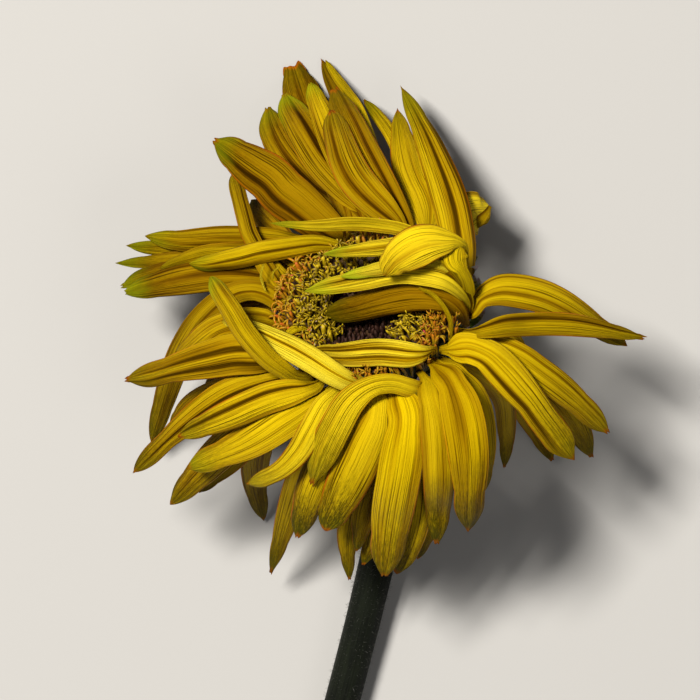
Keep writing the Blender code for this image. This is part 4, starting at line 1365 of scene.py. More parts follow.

# Small petals and parts of petals between the others. ray_low_hidden_01 to ray_low_hidden_05,
# ray_left_hidden, ray_left_under, ray_left_behind, ray_left_foot_04, ray_top_hidden and ray_band lie
# in gaps and under other petals where shade falls, and their dark colour is painted shade
EXTRAS: dict[str, tuple[Ray, Route]] = {
    "ray_top_sliver": (Ray(grooves=2, point=0.6, dry=0.5, shade=0.0), (
        (13.5, 22.0, -18.0, 0.8), (13.2, 27.0, -23.0, 1.3), (12.0, 31.5, -26.0, 1.2),
        (10.2, 35.2, -28.5, 0.3))),
    "ray_low_hidden_01": (Ray(tip=Tip.NOTCHED, dry=1.0, age=0.6, shade=0.7), (
        (0.5, -24.0, 9.0, 1.5), (-2.0, -36.0, 2.0, 2.4), (-4.6, -48.0, -8.0, 2.5),
        (-4.3, -57.5, -16.0, 0.4))),
    "ray_low_hidden_02": (Ray(dry=1.0, age=0.75, shade=0.8), (
        (3.5, -24.0, 10.0, 1.8), (1.0, -34.5, 5.0, 2.6), (-1.5, -44.5, -2.0, 2.5),
        (-2.8, -51.3, -8.0, 0.4))),
    "ray_low_hidden_03": (Ray(tip=Tip.NOTCHED, dry=1.0, age=0.65, shade=0.8), (
        (5.0, -26.0, 9.0, 1.8), (3.5, -38.0, 2.0, 2.8), (0.8, -48.0, -7.0, 2.7),
        (-1.5, -54.3, -13.0, 0.4))),
    "ray_low_hidden_04": (Ray(dry=0.9, age=0.7, shade=0.8), (
        (12.0, -24.0, 9.0, 1.8), (13.0, -36.0, 3.0, 2.8), (12.0, -46.0, -5.0, 2.6),
        (10.0, -53.0, -12.0, 0.4))),
    "ray_low_hidden_05": (Ray(dry=0.8, age=0.7, shade=0.6), (
        (-15.0, -18.0, 4.0, 1.5), (-23.0, -26.0, -2.0, 2.6), (-30.0, -33.0, -9.0, 2.5),
        (-36.0, -39.0, -16.0, 0.4))),
    "ray_left_hidden": (Ray(dry=0.8, age=0.75, shade=0.8), (
        (-19.5, -5.0, 2.0, 1.2), (-25.5, -7.0, -1.0, 2.2), (-31.0, -12.0, -7.0, 2.2),
        (-35.0, -20.0, -15.0, 0.6))),
    "ray_right_hidden": (Ray(dry=0.4, age=0.15), (
        (21.0, -6.0, 5.0, 1.0), (26.0, -6.2, 4.5, 1.6), (30.0, -7.0, 3.0, 1.9), (33.0, -10.0, 0.0, 0.5))),
    "ray_left_under": (Ray(dry=0.9, age=1.0, shade=1.0), (
        (-17.5, 0.8, -6.0, 1.5), (-23.0, 1.4, -7.2, 2.4), (-29.0, -0.6, -9.6, 2.8),
        (-35.5, -6.5, -15.0, 0.8))),
    "ray_left_foot_02": (Ray(grooves=1, depth=0.1, foot=0.7, dry=0.2, age=0.6, shade=0.2), (
        (-16.4, 5.5, -5.8, 0.9), (-18.1, 6.5, -6.4, 1.3), (-19.5, 7.8, -7.2, 1.4), (-20.8, 9.5, -8.2, 1.3),
        (-21.8, 11.2, -9.2, 0.8))),
    "ray_left_foot_03": (Ray(grooves=1, depth=0.1, foot=0.7, dry=0.4, age=0.8, shade=0.4), (
        (-12.2, 7.4, -8.2, 0.6), (-14.3, 8.4, -8.8, 1.0), (-16.6, 9.7, -9.6, 1.2),
        (-18.9, 10.9, -10.4, 1.2), (-21.0, 12.0, -11.0, 0.8))),
    "ray_left_foot_04": (Ray(dry=0.9, age=1.0, shade=1.0), (
        (-10.0, 11.0, -13.5, 1.8), (-14.0, 9.0, -13.0, 3.4), (-18.0, 5.5, -11.0, 3.6),
        (-20.5, 0.5, -9.0, 2.0))),
    "ray_disc_curl": (Ray(grooves=1, depth=0.2, dry=0.3, shade=0.0), (
        (-17.7, -6.6, 4.6, 0.45), (-16.9, -5.3, 6.4, 0.75), (-15.3, -4.5, 7.2, 0.8),
        (-13.2, -4.6, 6.6, 0.4))),
    "ray_curl": (Ray(grooves=1, depth=0.1, green=0.0, dry=0.0, pale=0.4, shade=0.0), (
        (-19.0, 8.5, -2.6, 0.15), (-20.2, 7.6, -1.8, 0.22), (-20.4, 6.7, -1.8, 0.22),
        (-20.3, 5.9, -2.2, 0.12))),
    "ray_thread": (Ray(grooves=1, depth=0.1, green=0.0, dry=0.0, pale=0.5, shade=0.0), (
        (-22.3, 9.0, -2.4, 0.15), (-22.9, 6.9, -1.4, 0.26), (-22.5, 4.8, -1.0, 0.26),
        (-21.8, 3.2, -0.6, 0.12))),
    "ray_band": (Ray(grooves=1, depth=0.1, curl=0.2, dry=1.0, age=0.5, shade=0.0), (
        (20.4, 1.8, 7.0, 0.4), (19.7, 4.2, 11.2, 0.8), (18.6, 6.1, 13.6, 0.8), (17.0, 7.9, 15.4, 0.7),
        (14.6, 10.0, 16.2, 0.4))),
    "ray_strap": (Ray(grooves=1, depth=0.3, curl=0.7, wave=0.1, foot=0.3, green=0.0, dry=1.0, age=0.4,
            shade=0.0), (
        (10.2, 4.0, 13.2, 0.3), (13.0, 2.7, 14.2, 0.48), (15.4, 0.1, 14.0, 0.52), (16.8, -2.9, 12.8, 0.55),
        (16.9, -5.6, 11.0, 0.52), (16.7, -8.4, 8.6, 0.4))),
    "ray_top_strip": (Ray(grooves=1, depth=0.1, curl=0.5, green=0.2, dry=0.3, age=0.15, shade=0.0), (
        (1.3, 33.0, -23.4, 0.9), (-0.6, 37.8, -27.4, 1.1), (-2.5, 42.2, -30.8, 1.1),
        (-4.8, 45.6, -33.6, 1.0), (-7.3, 49.0, -36.2, 0.9), (-9.4, 52.3, -38.2, 0.3))),
    "ray_top_hidden": (Ray(dry=0.4, age=1.0, shade=1.0), (
        (-16.8, 14.1, -17.0, 1.4), (-19.7, 16.6, -20.0, 2.2), (-22.7, 19.6, -23.0, 2.6),
        (-25.0, 22.7, -26.0, 0.6))),
    "ray_left_behind": (Ray(dry=0.6, age=0.9, shade=0.7), (
        (-22.7, -16.1, -1.0, 1.6), (-29.0, -17.0, -4.5, 2.6), (-34.6, -19.1, -8.5, 2.8),
        (-38.9, -22.0, -12.5, 2.4), (-42.0, -25.8, -16.5, 0.5))),
    "ray_top_curl": (Ray(grooves=1, depth=0.1, curl=0.4, green=0.0, dry=0.3, age=0.8), (
        (25.3, 21.3, -18.6, 0.3), (24.4, 19.6, -17.6, 0.9), (22.8, 17.9, -16.8, 1.1),
        (20.7, 16.5, -16.2, 0.5))),
    "ray_flap_back": (Ray(grooves=1, depth=0.05, curl=0.1, wave=0.1, green=0.0, dry=0.0, age=0.05,
            shade=0.0), (
        (20.9, 0.9, 6.0, 0.25), (20.8, 3.2, 10.4, 0.3), (20.4, 5.3, 13.2, 0.5), (19.3, 7.6, 15.2, 1.3),
        (18.1, 9.5, 16.1, 2.4), (18.0, 11.4, 16.6, 2.5), (18.7, 13.0, 16.9, 1.5))),
}

# Bracts that stand clear of the others
BRACTS: dict[str, Route] = {
    "bract_01": (
        (19.0, 8.4, -8.5, 0.6), (20.7, 9.3, -8.0, 0.8), (21.8, 10.0, -7.4, 0.6), (22.6, 10.9, -6.8, 0.15)),
    "bract_02": (
        (20.0, 4.6, -5.0, 0.6), (20.8, 6.3, -4.2, 0.8), (21.5, 7.8, -3.6, 0.7), (22.8, 8.6, -3.0, 0.15)),
    "bract_03": (
        (21.2, 0.4, -3.0, 0.6), (21.7, 2.4, -2.4, 0.8), (22.0, 4.6, -1.8, 0.7), (21.8, 7.0, -1.4, 0.15)),
    "bract_04": (
        (21.6, -0.2, -4.0, 0.6), (22.3, 2.0, -3.4, 0.8), (22.7, 4.2, -2.6, 0.8), (22.8, 6.3, -2.0, 0.15)),
    "bract_05": (
        (20.4, -4.2, -1.0, 0.6), (21.6, -3.2, 0.0, 0.7), (22.9, -2.1, 0.8, 0.7), (24.2, -0.6, 1.2, 0.15)),
}


# ---- Disc ----


class Layout(Enum):
    """How florets are spread between two radii."""

    SPIRAL = "spiral"
    ARC = "arc"


def floret_tree(layout: Layout, longest: float = 40.0, gap: float = 0.7) -> Grove:
    """Return the tree that sets florets on a dished bed, kept short where a petal lies over them.

    Args:
        layout: The sunflower spiral, or a scatter along an arc from one angle to another.
        longest: How far up it looks for a petal, in millimetres.
        gap: The gap that it leaves under a petal, in millimetres.

    Returns:
        The tree, whose sizes are in millimetres on the head and whose angles are in radians.
    """
    sizes = ("Inner", "Outer", "Low", "High", "Start", "Sweep", "Lean In", "Lean Out", "Wander", "Smallest",
             "Largest", "Tall")
    grove = Grove(layout.value, Florets="Collection", Cover="Object", Count="Int",
                  **dict.fromkeys(sizes, "Float"))
    inner, outer, low, high, start, sweep = grove.read(*sizes[:6])
    lean_in, lean_out, wander, smallest, largest, tall = grove.read(*sizes[6:])
    count, seed, florets, cover = grove.read("Count", "Seed", "Florets", "Cover")
    index = grove.value("GeometryNodeInputIndex")
    if layout is Layout.SPIRAL:
        share = (index + 0.5) / count
        turn = start + sweep * grove.math("FRACT", index * GOLDEN_TURN)
    else:
        share = grove.random(0.0, 1.0, seed + 6.0)
        turn = start + sweep * ((index + grove.random(0.1, 0.9, seed + 7.0)) / count)
    radius = grove.math("SQRT", inner * inner + (outer * outer - inner * inner) * share)
    level = (radius - inner) / (outer - inner)
    spot = grove.combine(radius * grove.math("COSINE", turn), radius * grove.math("SINE", turn),
                         low + (high - low) * level)
    stray = grove.random((-1.0, -1.0, -0.6), (1.0, 1.0, 0.6), seed, "FLOAT_VECTOR")
    drift = grove.value("ShaderNodeVectorMath", {0: stray, "Scale": wander}, operation="SCALE")
    points = grove.value("GeometryNodeSetPosition", {
        "Geometry": grove.value("GeometryNodeMeshLine", {"Count": count}),
        "Position": grove.value("ShaderNodeVectorMath", {0: spot, 1: drift}, operation="ADD")})
    lean = lean_in + (lean_out - lean_in) * level + grove.random(-0.3, 0.3, seed + 1.0)
    rotation = grove.combine(grove.random(-0.3, 0.3, seed + 2.0), lean,
                             turn + grove.random(-0.6, 0.6, seed + 3.0))
    ray = grove.node("GeometryNodeRaycast", {
        "Target Geometry": grove.value("GeometryNodeObjectInfo", {"Object": cover}, "Geometry"),
        "Ray Direction": tuple(UP), "Ray Length": longest})
    hit = grove.out(ray, "Is Hit")
    room = grove.out(ray, "Hit Distance") * hit + (1.0 - hit) * longest
    size = grove.random(smallest, largest, seed + 5.0)
    squat = grove.math("MAXIMUM", grove.math("MINIMUM", (room - gap) / (tall * size), 1.0), 0.05)
    grove.close(grove.value("GeometryNodeInstanceOnPoints", {
        "Points": points, "Pick Instance": True,
        "Instance": grove.value("GeometryNodeCollectionInfo", {
            "Collection": florets, "Separate Children": True, "Reset Children": True}),
        "Instance Index": grove.random(0, 50, seed + 4.0, "INT"),
        "Rotation": rotation, "Scale": grove.combine(size, size, size * squat)}))
    return grove


@dataclass(frozen=True)
class Ring:
    """One planting of florets on the disc, in millimetres on the head and degrees round it."""

    name: str
    count: int
    inner: float
    outer: float
    low: float
    high: float
    lean_in: float
    lean_out: float
    wander: float
    smallest: float
    largest: float
    tall: float
    seed: int
    layout: Layout = Layout.SPIRAL
    start: float = 0.0
    sweep: float = 360.0

    def inputs(self) -> dict[str, float]:
        """Return the values of the tree's inputs that have the names of these fields."""
        turned = replace(self, start=math.radians(self.start), sweep=math.radians(self.sweep))
        return {key.replace("_", " ").title(): value for key, value in vars(turned).items()
                if key not in ("name", "layout")}


@dataclass
class Disc:
    """The disc of the flower: dark buds in the middle, open florets round them, long ones outside.

    Sizes are in the head's own millimetres, with its axis as z. The open florets stand from
    the middle's radius to the ring's. A petal lies over the disc where it comes within the
    covered share of the head's radius.
    """

    head: Head
    middle: float = 8.9
    ring: float = 14.4
    bed_sides: int = 72
    covered_share: float = 0.9

    def shelf(self, name: str, make: Callable[[int], Shape], seed: int, count: int) -> bpy.types.Collection:
        """Keep shapes as hidden objects in a collection, for a tree to pick from.

        Args:
            name: The collection's name.
            make: The method that makes one shape from a seed.
            seed: The first shape's seed.
            count: The number of shapes.

        Returns:
            The collection.
        """
        box = bpy.data.collections.new(name)
        for index in range(count):
            item = add_closed(f"{name}_{index}", make(seed + index), PETAL.material())
            box.objects.link(put_away(item))
        return box

    def lies_over(self, petal: bpy.types.Object) -> bool:
        """Return whether any of a petal lies over the disc."""
        height, reach = self.head.measured(points_of(petal))
        return bool(((reach < self.covered_share * self.head.radius) & (height > 0.0)).any())

    def cover(self, petals: Sequence[bpy.types.Object]) -> bpy.types.Object:
        """Return a hidden copy of the petals over the disc, in the head's own millimetres.

        Args:
            petals: The petals over the disc.

        Returns:
            The hidden copy, as one object.
        """
        parts = [(points_of(petal), [tuple(side.vertices) for side in petal.data.polygons], points_of(petal))
                 for petal in petals]
        points, faces, _ = joined(parts)
        item = put_away(add_piece("cover", (points, faces, None), PETAL.material()))
        item.data.transform(self.head.matrix().inverted())
        return item

    def bud(self, seed: int) -> Shape:
        """Return one closed pointed bud, about a millimetre wide.

        Args:
            seed: The seed of its random draws.

        Returns:
            Its points, faces and UV places.
        """
        chance = np.random.default_rng(seed)
        route = np.array(((0.0, 0.0, -0.6), (0.0, 0.0, 0.3), (0.04, 0.0, 1.0), (0.12, 0.03, 1.6)))
        route[3, :2] += chance.uniform(-0.12, 0.12, 2)
        return tube(route, (0.34, 0.5, 0.42, 0.06), 5, chance.uniform(0.0, 1.0))

    def open_floret(self, seed: int) -> Shape:
        """Return one open floret: a narrow tube with small curled lobes and a pale stigma.

        Args:
            seed: The seed of its random draws.

        Returns:
            Its points, faces and UV places.
        """
        chance = np.random.default_rng(seed)
        bend = chance.uniform(-0.9, 0.9, 2)
        tall = chance.uniform(1.9, 3.3)
        heights = np.array((-0.8, 0.3 * tall, 0.75 * tall, tall))
        route = np.column_stack((np.outer((heights / tall) ** 2, bend), heights))
        mouth = route[3]
        parts = [tube(route, (0.22, 0.26, 0.36, 0.28), 5)]
        for index in range(int(chance.integers(2, 5))):
            out = level_direction(1.7 * index + chance.uniform(-0.7, 0.7))
            reach = chance.uniform(0.45, 1.2)
            rise = chance.uniform(-0.3, 0.8)
            parts.append(tube((mouth + out * 0.10 - UP * 0.15, mouth + out * 0.40 * reach + UP * 0.35,
                               mouth + out * reach + UP * rise * 0.6,
                               mouth + out * reach * 1.15 + UP * (rise - 0.35)), (0.20, 0.19, 0.14, 0.04), 3))
        lean = out * chance.uniform(-0.5, 0.5)
        end = mouth + lean + UP * chance.uniform(0.6, 1.3)
        parts.append(tube((mouth, mouth + UP * 0.5 + lean * 0.4, end), (0.10, 0.09, 0.13), 3))
        return joined(parts)

    def long_floret(self, seed: int) -> Shape:
        """Return one long outer floret: a slender tube that ends in curled straps.

        Args:
            seed: The seed of its random draws.

        Returns:
            Its points, faces and UV places.
        """
        chance = np.random.default_rng(seed)
        tall = chance.uniform(2.4, 4.2)
        lean = chance.uniform(-0.2, 0.6)
        route = np.array([(lean * part * part, chance.uniform(-0.08, 0.08), -0.6 + (tall + 0.6) * part)
                          for part in np.linspace(0.0, 1.0, 5)])
        parts = [tube(route, (0.26, 0.30, 0.36, 0.40, 0.24), 5)]
        for index in range(int(chance.integers(2, 4))):
            out = level_direction(chance.uniform(-1.6, 1.6) + 3.1 * (index % 2))
            coil = chance.uniform(1.6, 4.2)
            size = chance.uniform(0.5, 1.1)
            strap = [route[4] - UP * 0.3 + out * 0.08]
            for step in range(1, 6):
                angle = coil * step / 5.0
                stride = out * math.sin(angle * 0.8 + 0.2) + UP * math.cos(angle)
                strap.append(strap[-1] + stride * size * 0.5)
            parts.append(tube(strap, (0.20, 0.24, 0.24, 0.19, 0.13, 0.05), 4))
        return joined(parts)

    def rod(self, seed: int) -> Shape:
        """Return one long straight floret of the rim, with a split and flared mouth.

        Args:
            seed: The seed of its random draws.

        Returns:
            Its points, faces and UV places.
        """
        chance = np.random.default_rng(seed)
        tall = chance.uniform(5.2, 7.4)
        bow = chance.uniform(-0.5, 0.7)
        route = np.array([(bow * math.sin(2.6 * part), 0.25 * bow * part, tall * part)
                          for part in np.linspace(0.0, 1.0, 7)])
        mouth = route[6]
        parts = [tube(route, (0.22, 0.29, 0.33, 0.37, 0.40, 0.36, 0.20), 6)]
        for turn in (0.4, 2.5, 4.6):
            out = level_direction(turn)
            end = mouth + out * chance.uniform(0.3, 0.5) + UP * chance.uniform(0.4, 1.0)
            parts.append(tube((mouth - UP * 0.5 + out * 0.15, mouth + out * 0.3 + UP * 0.3, end),
                              (0.22, 0.20, 0.05), 3))
        return joined(parts)

    def strand(self, seed: int) -> Shape:
        """Return one long thin curling strand.

        Args:
            seed: The seed of its random draws.

        Returns:
            Its points, faces and UV places.
        """
        chance = np.random.default_rng(seed)
        reach = chance.uniform(4.0, 7.0)
        swirl = chance.uniform(-1.6, 1.6)
        route = [(reach * 0.45 * math.sin(2.0 * part + 0.2) - 0.5, swirl * part * part,
                  reach * (0.75 * part - 0.5 * part ** 3)) for part in np.linspace(0.0, 1.0, 9)]
        return tube(route, np.linspace(0.20, 0.09, 9), 4)

    def bed(self, profile: Sequence[tuple[float, float]], finish: Finish) -> bpy.types.Object:
        """Build the closed turned bed under the florets.

        Args:
            profile: Its outline, as radii and heights.
            finish: Its finish.

        Returns:
            The bed.
        """
        turns = 2.0 * math.pi * np.arange(self.bed_sides) / self.bed_sides
        rings = [np.array([level_direction(turn) * radius + UP * height for turn in turns])
                 for radius, height in profile]
        item = add_closed("disc_bed", (*capped(rings), None), finish.material())
        item.data.transform(self.head.matrix())
        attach(item, BODY)
        return item

    def build(self, petals: Sequence[bpy.types.Object]) -> list[bpy.types.Object]:
        """Build the bed and the rings of florets under the petals that lie over the disc.

        Args:
            petals: All the petals.

        Returns:
            The bed and each ring of florets.
        """
        trees = {layout: floret_tree(layout) for layout in Layout}
        cover = self.cover([petal for petal in petals if self.lies_over(petal)])
        felt = TissueFinish("bed", (0.020, 0.009, 0.005), (0.075, 0.035, 0.010), (0.14, 0.07, 0.015))
        items = [self.bed(((0.5, -1.9), (self.middle, -1.7), (self.ring - 1.0, 0.9), (17.9, 0.9), (18.1, 0.4),
                           (14.0, 0.25), (self.middle, -2.2), (0.5, -2.3)), felt)]
        lilac = (0.42, 0.29, 0.20)
        pink = (0.72, 0.10, 0.08)
        dark = TipFinish("buds", (0.008, 0.003, 0.002), (0.022, 0.007, 0.004), (0.050, 0.018, 0.009),
                         (0.07, 0.025, 0.015), 0.05, 0.6)
        olive = TipFinish("open_florets", (0.06, 0.032, 0.003), (0.42, 0.29, 0.004), (0.64, 0.45, 0.008),
                          lilac, 0.05)
        amber = TipFinish("long_florets", (0.20, 0.11, 0.004), (0.50, 0.30, 0.005), (0.47, 0.155, 0.010),
                          (0.72, 0.09, 0.08), 0.04)
        straw = TipFinish("strands", (0.44, 0.30, 0.008), (0.66, 0.44, 0.010), (0.66, 0.28, 0.03), lilac)
        reed = TipFinish("rods", (0.11, 0.055, 0.003), (0.46, 0.30, 0.004), (0.56, 0.19, 0.010), pink)
        ember = TipFinish("orange_florets", (0.30, 0.16, 0.004), (0.56, 0.26, 0.006), (0.52, 0.11, 0.010),
                          (0.66, 0.07, 0.02), 0.04, 0.4)
        rose = TipFinish("pink_florets", (0.34, 0.21, 0.004), (0.58, 0.34, 0.008), (0.74, 0.06, 0.10), pink)
        florets = self.shelf("floret", self.open_floret, 20, 9)
        longs = self.shelf("long", self.long_floret, 40, 9)
        rods = self.shelf("rod", self.rod, 80, 6)
        strands = self.shelf("strand", self.strand, 60, 8)
        buds = self.shelf("bud", self.bud, 0, 4)
        arc = Layout.ARC
        # Each ring has its fields in their order: count, radii, heights, leans, wander, sizes, tall and seed
        plantings = (
            (buds, dark, "disc_centre", "disc_maroon", Ring(
                "disc_buds", 230, 0.2, self.middle + 0.6, -1.9, -1.6, -0.1, -0.45, 0.14, 0.75, 1.2, 1.7, 3)),
            (florets, olive, "disc_florets", "floret_olive", Ring(
                "open_florets", 262, self.middle, self.ring, -1.5, 0.8, -0.35, 0.3, 0.4, 0.9, 1.55, 4.0, 11,
                Layout.SPIRAL, 302.0, 286.0)),
            (longs, amber, "outer_florets", "floret_amber", Ring(
                "long_florets", 170, self.ring, 17.9, 0.9, 0.7, 0.1, 0.6, 0.4, 0.7, 1.1, 5.5, 23)),
            (buds, dark, None, "disc_maroon", Ring(
                "low_buds", 70, 9.3, 13.2, -1.5, -0.2, -0.3, -0.1, 0.3, 0.8, 1.3, 2.0, 59, arc, 228.0, 74.0)),
            (strands, straw, None, "floret_amber", Ring(
                "strands", 64, 11.0, 17.6, 0.6, 0.9, -0.4, 0.6, 0.5, 0.55, 1.0, 6.0, 31)),
            (rods, reed, None, "floret_amber", Ring(
                "rods_low", 46, 18.5, 19.1, -3.4, -2.8, -0.05, 0.05, 0.25, 0.85, 1.1,
                8.0, 41, arc, 236.0, 82.0)),
            (rods, reed, None, "floret_amber", Ring(
                "rods_right", 40, 15.6, 18.6, -0.8, -2.2, -0.05, 0.1, 0.12, 0.9, 1.2,
                9.0, 43, arc, 316.0, 42.0)),
            (longs, ember, None, "floret_amber", Ring(
                "orange_florets", 10, 16.4, 17.8, 0.2, 0.3, 0.3, 0.9, 0.4, 0.95, 1.25,
                4.0, 53, arc, 146.0, 60.0)),
            (rods, rose, None, "floret_amber", Ring(
                "pink_florets", 5, 16.8, 18.2, -1.8, -2.2, -0.1, 0.1, 0.3, 0.8, 1.0,
                6.0, 47, arc, 306.0, 14.0)),
        )
        for shapes, finish, node, slot, ring in plantings:
            item = trees[ring.layout].grow(ring.name, bpy.data.meshes.new(ring.name + "_host"), {
                "Florets": shapes, "Cover": cover, "Material": finish.material(), **ring.inputs()},
                self.head.matrix())
            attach(item, BODY)
            if node:
                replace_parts(item, node)
            items.append(item)
        return items


# ---- Collar, cup and down ----


@dataclass
class Collar:
    """The green whorls of bracts that wrap the cup under the petals, with sizes in millimetres.

    Each whorl has its count of bracts, their width, how far they stand past the rim and off
    the cup. The first whorl reaches further round the long angle, in degrees.
    """

    head: Head
    whorls: tuple[tuple[int, float, float, float], ...] = (
        (26, 3.6, 0.6, 0.35), (24, 3.2, -2.2, 0.75), (18, 2.8, -5.4, 1.1))
    long_angle: float = 4.0
    long_spread: float = 17.0
    long_reach: float = 3.0
    thickness: float = 0.28
    keel: float = 0.35
    rows: int = 13
    columns: int = 5
    seed: int = 5

    def bract(self, angle: float, reach: float, wide: float, lift: float, seed: float) -> Shape:
        """Return one narrow pointed bract that follows the cup and ends past its rim.

        Args:
            angle: Its place round the cup, in degrees.
            reach: How far its point stands past the rim.
            wide: Its width.
            lift: How far it stands off the cup.
            seed: A number between 0 and 1 that varies it.

        Returns:
            Its points, faces and UV places.
        """
        radius = self.head.radius / MM
        outline = ((5.4, -14.4), (10.6, -12.6), (15.4, -9.4), (radius - 0.5, -6.4),
                   (radius + 0.35 * reach, -5.2), (radius + 0.8 * reach, -4.8 + 0.5 * seed),
                   (radius + reach, -4.2 + 1.4 * seed))
        smooth = curve_through(np.array([(x, 0.0, z) for x, z in outline]), self.rows)
        share = np.linspace(0.0, 1.0, self.rows)
        sides = np.linspace(-1.0, 1.0, self.columns)
        half = 0.5 * wide * (0.75 + 0.25 * np.sin(share * math.pi)) * np.sqrt(1.0 - eased(share, 0.55, 1.03))
        along = directions_of(smooth)
        outward = np.stack((along[:, 2], np.zeros(self.rows), -along[:, 0]), axis=1)
        sheets = []
        for gap in (0.0, -self.thickness):
            stand = lift + (1.0 - abs(sides)) * self.keel + gap * (1.0 - sides ** 2)
            sheet = smooth[:, None] + outward[:, None] * stand[None, :, None]
            sheet[..., 1] += half[:, None] * sides
            sheets.append(sheet.reshape(-1, 3))
        radial = self.head.radial(angle)
        basis = np.stack((radial, np.cross(self.head.axis, radial), self.head.axis))
        count = self.rows * self.columns
        numbers = grid(self.rows, self.columns)
        faces = quads(numbers) + [face[::-1] for face in quads(numbers + count)]
        rim = [*numbers[0], *numbers[1:, -1], *numbers[-1, -2::-1], *numbers[-2:0:-1, 0]]
        rim = [int(corner) for corner in rim]
        for first, second in zip(rim, rim[1:] + rim[:1]):
            faces.append((second, first, first + count, second + count))
        places = uv_places(np.linspace(0.0, 1.0, self.columns), share)
        return np.vstack(sheets) @ basis * MM + self.head.centre, faces, np.vstack((places, places))

    def build(self, blades: Blades) -> list[bpy.types.Object]:
        """Build the bracts in three whorls, and those that stand clear of them.

        Args:
            blades: The maker of petals, which makes the clear bracts too.

        Returns:
            The clear bracts and, last, the whorls as one piece.
        """
        chance = np.random.default_rng(self.seed)
        parts = []
        for whorl, (count, wide, base, lift) in enumerate(self.whorls):
            for index in range(count):
                angle = 360.0 * (index + 0.5 * whorl) / count + chance.uniform(-3.0, 3.0)
                near = (angle - self.long_angle + 180.0) % 360.0 - 180.0
                reach = base + chance.uniform(-0.5, 0.5)
                if whorl == 0:
                    reach += self.long_reach * math.exp(-(near / self.long_spread) ** 2)
                width = wide * chance.uniform(0.85, 1.1)
                parts.append(self.bract(angle, reach, width, lift, chance.uniform(0.0, 1.0)))
        leaf = TipFinish("bracts", (0.016, 0.028, 0.006), (0.045, 0.085, 0.012), (0.24, 0.17, 0.20),
                         (0.09, 0.12, 0.05), 0.1, 0.6)
        # Painted light: a lighter copy of the bract colours, for the bracts that stand clear but lie in shade
        clear = TipFinish("clear_bracts", (0.08, 0.15, 0.015), (0.24, 0.40, 0.035), (0.55, 0.44, 0.50),
                          (0.16, 0.24, 0.06), 0.1, 0.6)
        items = []
        for name, route in BRACTS.items():
            spine = Spine.from_route(route, self.head)
            side = blades.blade(name, spine, Ray(grooves=2, depth=0.15, curl=-0.6))
            side.data.materials[0] = clear.material()
            items.append(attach(side, BODY))
        item = add_closed("bracts", joined(parts), leaf.material())
        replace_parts(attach(item, BODY), "bract_collar")
        items.append(item)
        # Painted shade: the cup's own dark green is darkened further for the shade under the petals
        cup = TissueFinish("cup", (0.020, 0.028, 0.010), (0.055, 0.070, 0.022), (0.10, 0.11, 0.05), 0.12,
                           700.0, 0.7)
        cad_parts["receptacle"].material_slots[0].material = cup.material()
        return items


def hair_tree() -> Grove:
    """Return the tree that scatters short hairs over the faces of a mesh.

    Returns:
        The tree, whose hairs' sizes are in millimetres and whose lowest height is in metres.
    """
    sizes = ("Density", "Smallest", "Largest", "Tilt", "Lowest")
    grove = Grove("hairs", Hair="Object", **dict.fromkeys(sizes, "Float"))
    density, smallest, largest, tilt, lowest = grove.read(*sizes)
    mesh, hair, seed = grove.read("Geometry", "Hair", "Seed")
    scatter = grove.node("GeometryNodeDistributePointsOnFaces", {
        "Mesh": mesh, "Density": density, "Seed": seed}, distribute_method="RANDOM")
    lean = grove.combine(grove.random(-1.0, 1.0, seed) * tilt, grove.random(-1.0, 1.0, seed + 1.0) * tilt,
                         grove.random(0.0, 6.28, seed + 2.0))
    height = grove.separate(grove.value("GeometryNodeInputPosition"))[2]
    grove.close(grove.value("GeometryNodeInstanceOnPoints", {
        "Points": grove.out(scatter, "Points"), "Selection": grove.math("GREATER_THAN", height, lowest),
        "Instance": grove.value("GeometryNodeObjectInfo", {"Object": hair}, "Geometry"),
        "Rotation": grove.value("FunctionNodeRotateRotation", {
            "Rotation": grove.out(scatter, "Rotation"), "Rotate By": lean}, rotation_space="LOCAL"),
        "Scale": grove.random(smallest, largest, seed + 3.0)}))
    return grove


@dataclass
class Down:
    """Short pale hairs on the stem and the bracts, tilted at random up to an angle in radians."""

    tilt: float = 0.6
    shortest_share: float = 0.35
    seed: int = 7

    def hair(self) -> bpy.types.Object:
        """Return one curved hair, a millimetre long, kept out of the scene."""
        route = np.array(((0.0, 0.0, -0.05), (0.02, 0.0, 0.35), (0.10, 0.02, 0.72), (0.24, 0.05, 1.0))) * MM
        shape = tube(route, np.array((0.045, 0.035, 0.022, 0.006)) * MM, 3)
        return put_away(add_closed("hair", shape, PETAL.material()))

    def build(self, hosts: Sequence[tuple[bpy.types.Object, float, float]]) -> list[bpy.types.Object]:
        """Cover some pieces with hairs.

        Args:
            hosts: Each piece, with its hairs to the square metre and its longest hair in millimetres.

        Returns:
            The hairs of each piece, as one piece.
        """
        tree = hair_tree()
        hair = self.hair()
        felt = TissueFinish("down", (0.06, 0.065, 0.05), (0.16, 0.16, 0.14), (0.30, 0.28, 0.28), 0.1,
                            500.0, 0.7)
        items = []
        for index, (host, density, longest) in enumerate(hosts):
            item = tree.grow("down_" + host.name, host.data, {
                "Hair": hair, "Density": density, "Smallest": longest * self.shortest_share,
                "Largest": longest, "Tilt": self.tilt, "Lowest": longest * MM, "Seed": self.seed + index,
                "Material": felt.material()})
            items.append(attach(item, BODY))
        return items


# ---- Stem ----


